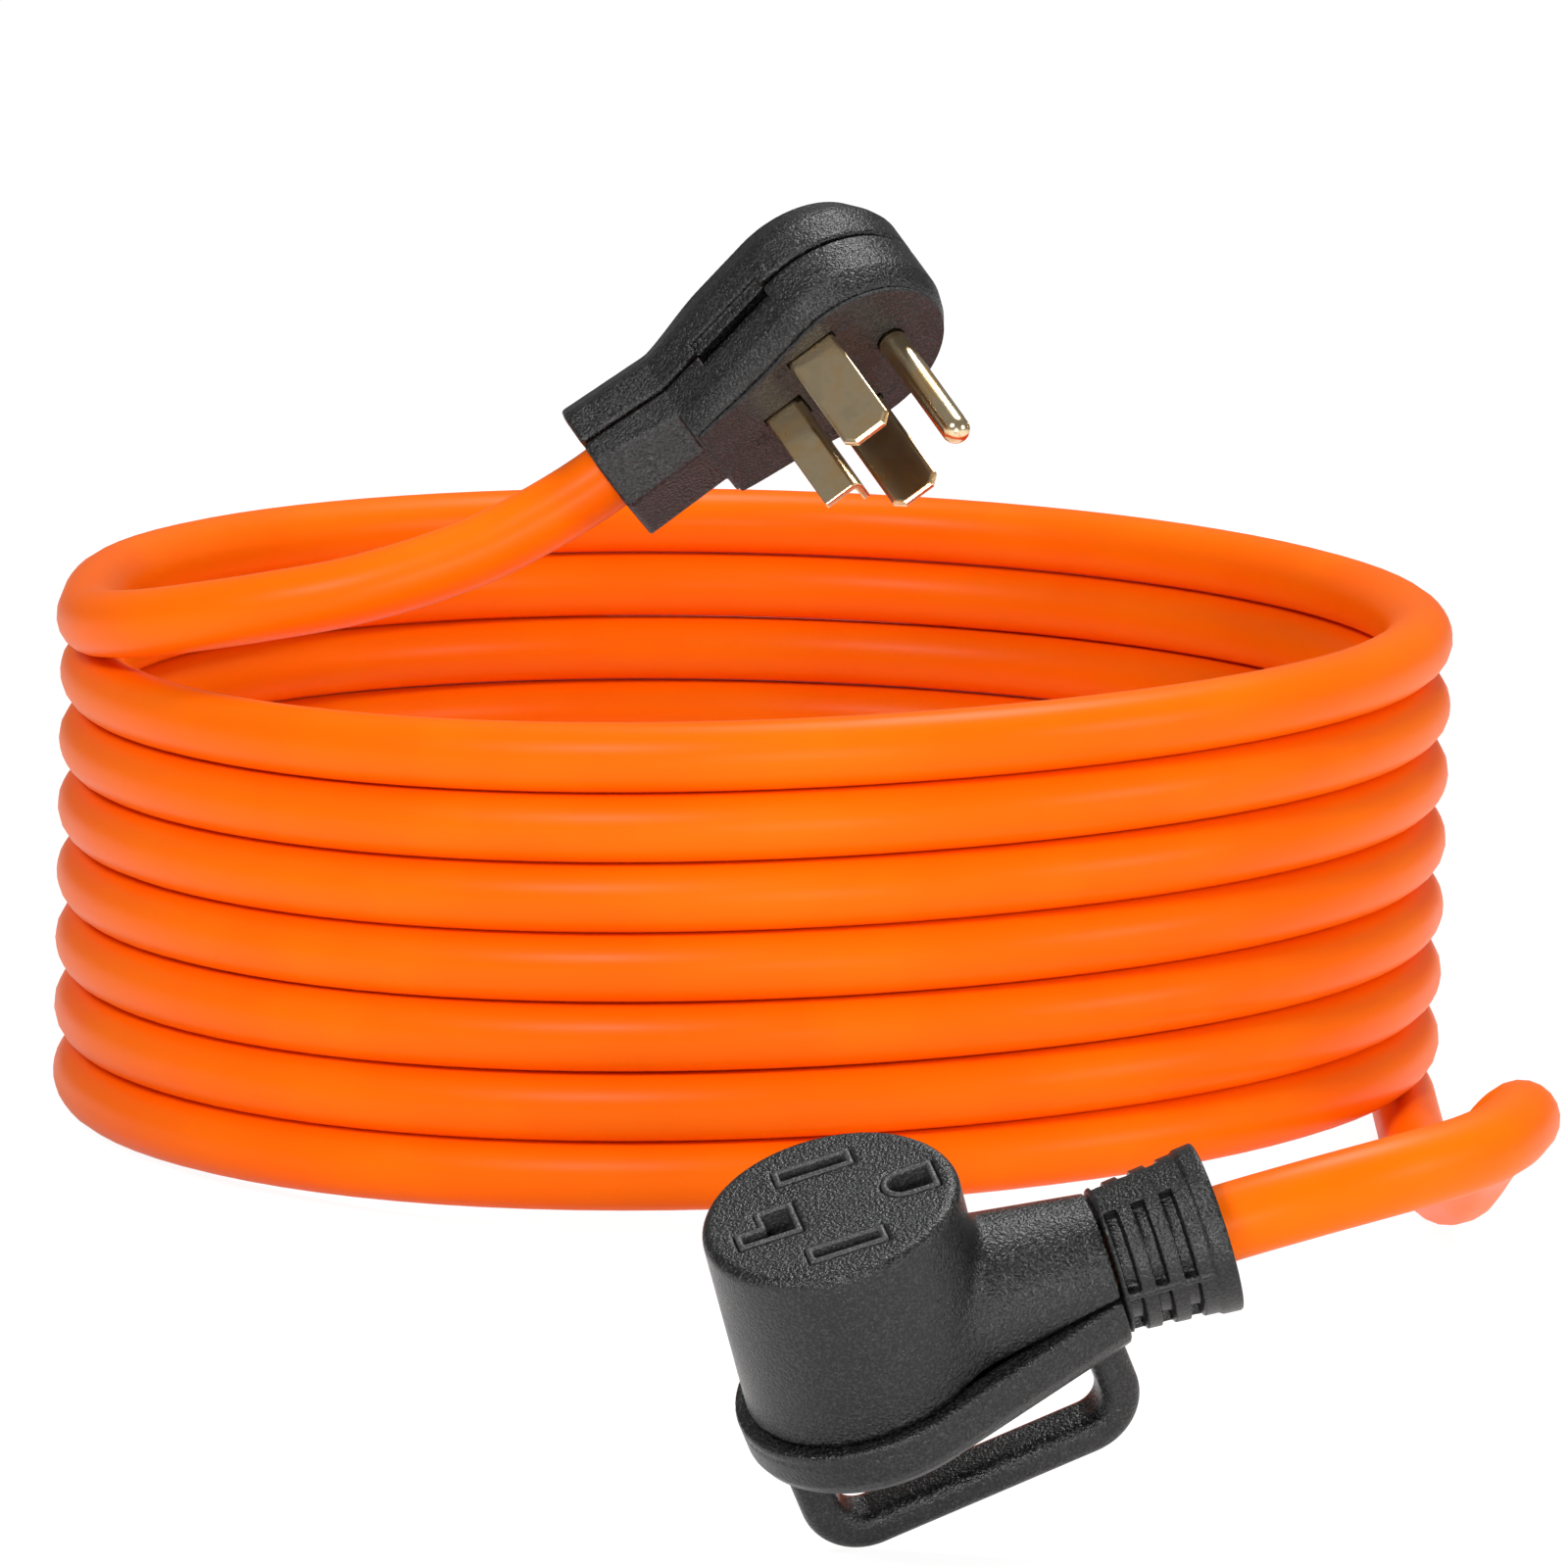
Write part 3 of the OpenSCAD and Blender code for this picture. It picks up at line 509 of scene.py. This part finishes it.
low, x, y, z = grid(
    (PLATE_STEP, 2 - HEAD_R, PLATE_LOW), (HEAD_X + HEAD_R - 2, HEAD_R - 2, 0), PLATE_GRID
)
d2 = outline_distance(PLUG_OUTLINE, x, y)
inset = PLATE_INSET * (1 + (FRONT_FLARE - 1) * neck_share(x))
plate = rounded(both(d2 + inset, PLATE_STEP - x), slab(z, -PLATE_H, 0), PLATE_EDGE)
boss = both(d2 + WALL + FIT, slab(z, PLATE_LOW, BOSS_TOP), PLATE_STEP + WALL + FIT - x)
ring = np.abs(np.hypot(x - GROUND_X, y) - RING_R) - MARK_HALF
marks = both(ring, RING_GAP - np.abs(y))
for cx, cy in WINDOWS:
    window = box2(x, y, cx, cy, *WINDOW)
    marks = np.minimum(marks, np.abs(window + MARK_HALF) - MARK_HALF)
holes = np.minimum.reduce([
    box2(x, np.abs(y), 0, LINE_Y, BLADE_HOLE, HOLE_W),
    np.hypot(x - GROUND_X, y) - PIN_HOLE_R,
    box2(x, y, NEUTRAL_X, NEUTRAL_HOLE_Y, NEUTRAL_HOLE, HOLE_W),
    box2(x, y, NEUTRAL_X + LEG_HOLE_X, 0, HOLE_W, LEG_HOLE),
])
plate = both(np.minimum(plate, boss), -holes, -both(marks, -MARK_DEEP - z))
plug_plate = moulding(
    "plug_plate", plate, low, PLATE_GRID, plug_world,
    "plug_blade_plate", hard_plastic,
)

# ---------------------------------------------------------------- blades and pin
# Two flat line blades and an L-shaped neutral blade cut and bent from brass sheet, with
# coined edges, and a round ground pin turned from bar, with a short slit in its tip.
BLADE_W, BLADE_T, BLADE_L, BLADE_ROOT = 13, 1.9, 31, 14
BLADE_TIP, BLADE_EDGE, COIN_DEEP, COIN_W = 2.4, 0.2, 0.3, 0.9
LEG_ALONG, LEG_ACROSS, LEG_EDGE, LEG_END = 10, 7.8, 0.01, 0.3
BEND_R, BEND_INNER_R = 2.5, 0.8
PIN_R, PIN_L, PIN_EDGE, PIN_SHOULDER = 3.55, 36.5, 0.3, 0.5
PIN_ROOT_R, PIN_ROOT_TOP = 3.15, 2
SLIT_HALF, SLIT_L, SLIT_FROM = 0.3, 5, 2.6
BLADE_GRID, PIN_GRID = 0.22, 0.3


def metal(name, base, dark, roughness):
    """Brass or tinned sheet: bright, with dull patches and fine rolling lines. Metal gives
    sharp reflections that the patches break up."""
    made, tree, shader, place = material(name, base)
    shader.inputs["Metallic"].default_value = 1.0
    patch = noise(tree, place, 150, 5)
    colour = blend_colour(tree, spread(tree, patch, 0.45, 0.75, 0, 1), base, dark)
    tree.links.new(colour, shader.inputs["Base Color"])
    rough = spread(tree, patch, 0.3, 0.7, roughness, roughness + 0.12)
    tree.links.new(rough, shader.inputs["Roughness"])
    fine = uneven(tree, noise(tree, place, 1500), 0.15, 0.00008)
    tree.links.new(fine, shader.inputs["Normal"])
    return made


def bend(x, y, cx, cy, radius):
    """The round outside of a bend about a centre, and a value well inside elsewhere."""
    return np.where((x > cx) & (y > cy), np.hypot(x - cx, y - cy) - radius, -9)


brass = metal("bright_brass", "#f6deb4", "#d4a868", 0.16)
for name, node, side in (("line_x", "line_blade_x", -1), ("line_y", "line_blade_y", 1)):
    y0 = side * LINE_Y
    low, x, y, z = grid(
        (-BLADE_W / 2, y0 - 1, -BLADE_ROOT), (BLADE_W / 2, y0 + 1, BLADE_L), BLADE_GRID
    )
    cut = (np.abs(x) + z - BLADE_W / 2 - BLADE_L + BLADE_TIP) / math.sqrt(2)
    face = both(np.abs(x) - BLADE_W / 2, slab(z, -BLADE_ROOT, BLADE_L), cut)
    coined = COIN_DEEP * np.clip(1 + face / COIN_W, 0, 1)
    blade = rounded(face, np.abs(y - y0) - BLADE_T / 2 + coined, BLADE_EDGE)
    moulding(
        name, blade, low, BLADE_GRID, plug_world, node, brass
    )

leg_from, leg_to = NEUTRAL_X - LEG_ALONG / 2, NEUTRAL_X + LEG_ALONG / 2
leg_half = LEG_ACROSS / 2
low, x, y, z = grid(
    (leg_from, -leg_half, -BLADE_ROOT), (leg_to, leg_half, BLADE_L), BLADE_GRID
)
outer = rounded(slab(x, leg_from, leg_to), np.abs(y) - leg_half, LEG_EDGE)
outer = both(outer, bend(x, y, leg_to - BEND_R, leg_half - BEND_R, BEND_R))
inner_x, inner_y = leg_to - BLADE_T, leg_half - BLADE_T
inner = both(leg_from - 0.1 - x, x - inner_x, -leg_half - 0.1 - y, y - inner_y)
inner = both(
    inner, bend(x, y, inner_x - BEND_INNER_R, inner_y - BEND_INNER_R, BEND_INNER_R)
)
bent = rounded(both(outer, -inner), slab(z, -BLADE_ROOT, BLADE_L), LEG_END)
moulding(
    "neutral", bent, low, BLADE_GRID, plug_world, "neutral_blade", brass
)

low, x, y, z = grid(
    (GROUND_X - PIN_HOLE_R, -PIN_HOLE_R, -BLADE_ROOT),
    (GROUND_X + PIN_HOLE_R, PIN_HOLE_R, PIN_L), PIN_GRID,
)
r = np.hypot(x - GROUND_X, y)
pin = np.hypot(r, np.maximum(z - PIN_L + PIN_R, 0)) - PIN_R
pin = rounded(pin, PIN_SHOULDER - z, PIN_EDGE)
pin = both(np.minimum(pin, both(r - PIN_ROOT_R, z - PIN_ROOT_TOP)), -BLADE_ROOT - z)
slit = both(np.abs(y) - SLIT_HALF, PIN_L - SLIT_L - z, SLIT_FROM - r, GROUND_X - x)
moulding(
    "ground", both(pin, -slit), low, PIN_GRID, plug_world, "ground_pin", brass
)

# ---------------------------------------------------------------- the connector's housing
# A straight round barrel and an arm in one vinyl moulding, cut off at a slope below.
BARREL_R, BARREL_INNER_R, TOP_SKIN, TOP_EDGE = 28, 24, 3.6, 2.2
ARM_L, ARM_AXIS, ARM_FROM = 54, 35, 10.3
ARM_ROOT_R, ARM_TAPER, ARM_SCALE, ARM_EDGE, FILLET = 21.5, 6.2, 0.98, 0.8, 3.5
COVER_TOP, COVER_GAP, CUT_EDGE, TILT = 41.8, 0.8, 0.6, math.radians(6.4)
ROOM_X, ROOM_HALF, ROOM_LOW, ROOM_TOP, CORD_STOP = 37.95, 12.5, -45.3, -26.75, 34
RELIEF_L = 24.8
RELIEF_START, RELIEF_END = ARM_L + FIT, ARM_L + FIT + RELIEF_L
HOUSING_LOW, HOUSING_GRID = -46, 0.55
SLOT_L, SLOT_W, SLOT_RIM, RIM_SEAT = 14.6, 3.2, 1.4, 0.4
NEUTRAL_SLOT_Y, NEUTRAL_SLOT_L = -2.9, 11.4
LEG_SLOT_X, LEG_SLOT = -11.4, (5.8, 9)
GROUND_SLOT_R, GROUND_SLOT_END = 3.8, 22.2


def connector_world(points):
    """From the connector's own frame, whose origin is the middle of its face."""
    return (points + [-RELIEF_END, 0, ARM_AXIS]) @ connector_m.T + connector_at


def smooth_join(a, b, radius):
    """Two fields joined with a fillet: b + (a - b) h - r h (1 - h), where h is
    1/2 + (b - a) / 2r kept in 0..1."""
    h = np.clip(0.5 + 0.5 * (b - a) / radius, 0, 1)
    return b + (a - b) * h - radius * h * (1 - h)


def slots(x, y, grow):
    """The four slots' outlines on the face, drawn out."""
    g = 2 * grow
    line_slots = box2(x, np.abs(y), 0, LINE_Y, SLOT_L + g, SLOT_W + g)
    across = box2(x, y, NEUTRAL_X, NEUTRAL_SLOT_Y, NEUTRAL_SLOT_L + g, SLOT_W + g)
    leg = box2(x, y, LEG_SLOT_X, 0, LEG_SLOT[0] + g, LEG_SLOT[1] + g)
    flat = both(np.abs(y) - GROUND_SLOT_R - grow, x - GROUND_SLOT_END - grow)
    end = np.hypot(x - GROUND_X, y) - GROUND_SLOT_R - grow
    ground = np.where(x < GROUND_X, end, flat)
    return np.minimum.reduce([line_slots, across, leg, ground])


def cord_room(x, y, z):
    """What the arm's two halves leave free: a room for the crimps, and the cord's bore."""
    room = both(slab(x, 0, ROOM_X), np.abs(y) - ROOM_HALF, slab(z, ROOM_LOW, ROOM_TOP))
    return np.minimum(room, both(np.hypot(y, z + ARM_AXIS) - BORE_R, CORD_STOP - x))


low, x, y, z = grid(
    (-BARREL_R, -BARREL_R, HOUSING_LOW), (ARM_L, BARREL_R, 0), HOUSING_GRID
)
r = np.hypot(x, y)
barrel = rounded(r - BARREL_R, z, TOP_EDGE)
taper = (x - ARM_FROM) * ARM_TAPER / (ARM_L - ARM_FROM)
arm = (np.hypot(y, z + ARM_AXIS) - ARM_ROOT_R + taper) * ARM_SCALE
arm = rounded(both(arm, slab(x, 0, ARM_L)), x - ARM_L, ARM_EDGE)
sloped = (z + COVER_TOP) * math.cos(TILT) - x * math.sin(TILT)
body = rounded(smooth_join(barrel, arm, FILLET), COVER_GAP - sloped, CUT_EDGE)
cavity = both(r - BARREL_INNER_R, z + TOP_SKIN)
holes = both(slots(x, y, SLOT_RIM + FIT), -TOP_SKIN - RIM_SEAT - z)
moulding(
    "connector_barrel", both(body, -cavity, -cord_room(x, y, z), -holes), low,
    HOUSING_GRID, connector_world, "connector_housing", black_vinyl,
)

# ---------------------------------------------------------------- the socket block
# The hard block inside the barrel: a raised rim round each slot shows in the face, and
# a pocket below each slot holds its contact.
rim_plastic = moulded("hard_grey_plastic", "#343434", "#505050", 0.36, 1500, 0.0003)
BLOCK_R, BLOCK_H, BLOCK_EDGE, BLOCK_GRID = 23.85, 30, 0.4, 0.4
BLOCK_BOX, RIMS_END = 23.9, 25.4
RIM_UP, RIM_EDGE, POCKET_TOP, SLOT_PAST = 0.3, 0.3, -8, 1
LINE_POCKET, NEUTRAL_POCKET, GROUND_POCKET = (14, 5.1), (11, 11), (8.1, 10.3)

low, x, y, z = grid(
    (-BLOCK_BOX, -BLOCK_BOX, -BLOCK_H), (RIMS_END, BLOCK_BOX, RIM_UP), BLOCK_GRID
)
core = rounded(
    np.hypot(x, y) - BLOCK_R, slab(z, -BLOCK_H, -TOP_SKIN - FIT), BLOCK_EDGE
)
rim = rounded(slots(x, y, SLOT_RIM), slab(z, -TOP_SKIN - RIM_SEAT, RIM_UP), RIM_EDGE)
way_in = both(slots(x, y, 0), POCKET_TOP - SLOT_PAST - z)
pockets = np.minimum.reduce([
    box2(x, np.abs(y), 0, LINE_Y, *LINE_POCKET),
    box2(x, y, NEUTRAL_X, 0, *NEUTRAL_POCKET),
    box2(x, y, GROUND_X, 0, *GROUND_POCKET),
])
block = both(np.minimum(core, rim), -way_in, -both(pockets, z - POCKET_TOP))
moulding(
    "socket_block", block, low, BLOCK_GRID, connector_world,
    "connector_socket_block", rim_plastic,
)

# ---------------------------------------------------------------- the back cover
# A boat-shaped vinyl cover that stands out round the barrel and slopes up to the cord.
COVER_R, COVER_TIP_HALF, COVER_WALL = 31, 15.5, 5.6
COVER_DEPTH, COVER_FLOOR, COVER_EDGE = 13.4, 6.5, 0.9
COVER_PAST = (-70, 11)
INSET_HEIGHTS, INSETS = [-COVER_DEPTH, -12.2, -10.2, -8, 0], [5, 3, 1, 0, 0]
LIP_R, LIP_LOW = 26.5, -1
GROOVE_Z, GROOVE_HALF, GROOVE_DEEP = -2.6, 0.3, 0.35


def upright(x, z):
    """X and Z in the connector's own frame, from the back cover's sloping one."""
    return (
        x * math.cos(TILT) - z * math.sin(TILT),
        x * math.sin(TILT) + z * math.cos(TILT) - COVER_TOP,
    )


def cover_world(points):
    """From the back cover's own sloping frame."""
    x, y, z = points.T
    level_x, level_z = upright(x, z)
    return connector_world(np.column_stack([level_x, y, level_z]))


low, x, y, z = grid(
    (-COVER_R, -COVER_R, -COVER_DEPTH), (ARM_L + 4, COVER_R, COVER_GAP), HOUSING_GRID
)
boat = teardrop(COVER_R, 0, [(-ARM_L, COVER_TIP_HALF), COVER_PAST]) * [-1, 1]
d2 = outline_distance(boat, x, y)
inset = np.interp(z, INSET_HEIGHTS, INSETS)
level_x, level_z = upright(x, z)
body = rounded(d2 + inset, slab(z, -COVER_DEPTH, 0), COVER_EDGE)
body = rounded(body, level_x - ARM_L, ARM_EDGE)
lip = both(np.hypot(x, y) - LIP_R, slab(z, LIP_LOW, COVER_GAP))
groove = both(np.abs(z - GROOVE_Z) - GROOVE_HALF, -GROOVE_DEEP - d2)
cavity = both(d2 + COVER_WALL, COVER_FLOOR - COVER_DEPTH - z, x - ROOM_X)
body = both(np.minimum(body, lip), -cavity, -cord_room(level_x, y, level_z), -groove)
moulding(
    "connector_cover", body, low, HOUSING_GRID, cover_world,
    "connector_back_cover", black_vinyl,
)

# ---------------------------------------------------------------- the pull handle
# A vinyl loop under the cover, thick and rounded so that two fingers can pull on it.
HANDLE_X, HANDLE_END, HANDLE_T, HANDLE_LOW = -26, 51.5, 8.5, 40.9
HANDLE_HALF, HANDLE_TOP, HANDLE_GRID = 6, -9.4, 0.5
HANDLE_CORNER, INNER_CORNER, HANDLE_EDGE, HANDLE_ROUND = 14, 5.5, 1.0, 3.2

low, x, y, z = grid(
    (HANDLE_X, -HANDLE_HALF, -HANDLE_LOW), (HANDLE_END, HANDLE_HALF, -9), HANDLE_GRID
)
outer = rounded(slab(x, HANDLE_X, HANDLE_END), -HANDLE_LOW - z, HANDLE_CORNER)
inner = rounded(
    slab(x, HANDLE_X + HANDLE_T, HANDLE_END - HANDLE_T), HANDLE_T - HANDLE_LOW - z,
    INNER_CORNER,
)
profile = both(rounded(outer, -inner, HANDLE_EDGE), z - HANDLE_TOP)
moulding(
    "connector_handle", rounded(profile, np.abs(y) - HANDLE_HALF, HANDLE_ROUND), low,
    HANDLE_GRID, cover_world, "connector_pull_handle", black_vinyl,
)

# ---------------------------------------------------------------- the strain relief
# A flexible sleeve with three rows of long slots, which lets the cord bend by degrees.
# The mould's parting line runs along each side between the slots.
soft_vinyl = moulded("soft_black_vinyl", "#0a0a0a", "#282828", 0.33, 1500, 0.0003)
RELIEF_R, RELIEF_FLARE, RELIEF_EDGE, RELIEF_GRID = 16, 2.2, 0.9, 0.4
RIDGE_HALF, RIDGE_UP, RIDGE_ENDS = 0.35, 0.3, (54.9, 78.3)
COLLAR_FROM, COLLAR_UP, COLLAR_EDGE = 74.2, 0.5, 0.6
ROWS, ROW_START, ROW_PITCH, ROW_W, ROW_DEEP = 3, 1.2, 6.2, 2.8, 3
ROW_ANGLES, ROW_HALF_ANGLE, MM_PER_DEGREE = (52.5, 127.5), 34.5, 0.29

low, x, y, z = grid((ARM_L, -19, -19 - ARM_AXIS), (79, 19, 19 - ARM_AXIS), RELIEF_GRID)
r = np.hypot(y, z + ARM_AXIS)
turn = np.abs(np.degrees(np.arctan2(y, z + ARM_AXIS)))
radius = RELIEF_R + (x - RELIEF_START) * RELIEF_FLARE / RELIEF_L
sleeve = rounded(r - radius, slab(x, RELIEF_START, RELIEF_END), RELIEF_EDGE)
ridge = both(
    np.abs(z + ARM_AXIS) - RIDGE_HALF, r - radius - RIDGE_UP, slab(x, *RIDGE_ENDS)
)
collar = rounded(
    r - radius - COLLAR_UP, slab(x, COLLAR_FROM, RELIEF_END), COLLAR_EDGE
)
body = np.minimum.reduce([sleeve, ridge, collar])
off_middle = np.minimum(*[np.abs(turn - angle) for angle in ROW_ANGLES])
for row in range(ROWS):
    start = RELIEF_START + ROW_START + row * ROW_PITCH
    cut = both(
        slab(x, start, start + ROW_W), radius - ROW_DEEP - r,
        (off_middle - ROW_HALF_ANGLE) * MM_PER_DEGREE,
    )
    body = both(body, -cut)
moulding(
    "connector_relief", both(body, BORE_R - r), low, RELIEF_GRID, connector_world,
    "connector_strain_relief", soft_vinyl,
)

# ---------------------------------------------------------------- wires, crimps, contacts
# What the shells hide keeps its solids: brass spring clips, tinned crimp barrels, and
# four wires in plain coloured insulation.


def insulation(name, base, light):
    """Thin wire insulation, smooth with a faint mottle."""
    made, tree, shader, place = material(name, base)
    colour = blend_colour(tree, noise(tree, place, 400), base, light)
    tree.links.new(colour, shader.inputs["Base Color"])
    shader.inputs["Roughness"].default_value = 0.42
    return made


FINISHES = {
    "orange_jacket": orange_vinyl,
    "black_plastic": black_vinyl,
    "black_rubber": soft_vinyl,
    "dark_grey_plastic": hard_plastic,
    "brass": brass,
    "tinned_steel": metal("tinned_barrel", "#b9b4a6", "#8d887a", 0.35),
    "black_insulation": insulation("black_insulation", "#141414", "#202020"),
    "red_insulation": insulation("red_insulation", "#a81c18", "#bb2a24"),
    "white_insulation": insulation("white_insulation", "#e4e2dc", "#efeee9"),
    "green_insulation": insulation("green_insulation", "#2a7436", "#388a45"),
}
for part in frame["record"]["subparts"]:
    for held in frame["nodes"][part["node"]].material_slots:
        held.material = FINISHES[part["material_slot"]]

# ---------------------------------------------------------------- floor and light
# A white floor that the camera sees at full strength, with the shadows kept, and that
# reflections see dimmer. A soft lamp at the upper left has weaker ones round it. The
# floor and the lamps are in metres.
FLOOR_HALF, FLOOR_DROP = 12, 0.0004
SEEN, MIRRORED, GLOW, SKY = 0.8, 0.4, 1.17, 0.2

corners = [(-1, -1), (1, -1), (1, 1), (-1, 1)]
floor_mesh = bpy.data.meshes.new("floor")
floor_mesh.from_pydata(
    [(FLOOR_HALF * i, FLOOR_HALF * j, 0) for i, j in corners], [], [(0, 1, 2, 3)]
)
floor = bpy.data.objects.new("floor", floor_mesh)
bpy.context.scene.collection.objects.link(floor)
floor.location.z = -FLOOR_DROP
pale, tree, shader, place = material("pale_floor", "#f4f4f4")
shader.inputs["Roughness"].default_value = 0.9
shader.inputs["Specular IOR Level"].default_value = 0.1


def reckoned(tree, operation, a, b):
    """The result of an operation on two values or sockets."""
    return add(tree, "ShaderNodeMath", {0: a, 1: b}, operation=operation).outputs[0]


rays = add(tree, "ShaderNodeLightPath").outputs
direct = reckoned(tree, "MAXIMUM", rays["Is Camera Ray"], rays["Is Transmission Ray"])
in_mirrors = reckoned(tree, "MULTIPLY", rays["Is Glossy Ray"], MIRRORED)
seen = reckoned(tree, "MAXIMUM", reckoned(tree, "MULTIPLY", direct, SEEN), in_mirrors)
glow = add(tree, "ShaderNodeEmission", {"Color": (1, 1, 1, 1), "Strength": GLOW})
shown = add(
    tree, "ShaderNodeMixShader",
    {0: seen, 1: shader.outputs[0], 2: glow.outputs[0]},
)
tree.links.new(shown.outputs[0], tree.nodes["Material Output"].inputs["Surface"])
floor_mesh.materials.append(pale)

world = bpy.data.worlds.new("studio")
world.use_nodes = True
bpy.context.scene.world = world
world.node_tree.nodes["Background"].inputs["Color"].default_value = (1, 1, 1, 1)
world.node_tree.nodes["Background"].inputs["Strength"].default_value = SKY


def soft_light(name, place, target, size, power):
    """A square lamp that faces its target, with its size in metres and power in watts."""
    data = bpy.data.lights.new(name, "AREA")
    data.energy = power
    data.size = size
    made = bpy.data.objects.new(name, data)
    away = np.array(place, float) - np.array(target, float)
    away /= np.linalg.norm(away)
    side = np.cross((0, 0, 1), away)
    side /= np.linalg.norm(side)
    made.matrix_world = placed([side, np.cross(away, side), away], place)
    bpy.context.scene.collection.objects.link(made)


soft_light("key", (-1.3, -1.9, 1.9), (0, 0.1, 0.1), 0.7, 44)
soft_light("front", (0.35, -2.6, 0.22), (0, -0.1, 0.1), 0.45, 24)
soft_light("right", (2.2, -0.9, 0.9), (0, 0.1, 0.1), 0.6, 18)
soft_light("top", (0.3, 0.9, 2.2), (0, 0.2, 0.1), 0.9, 34)
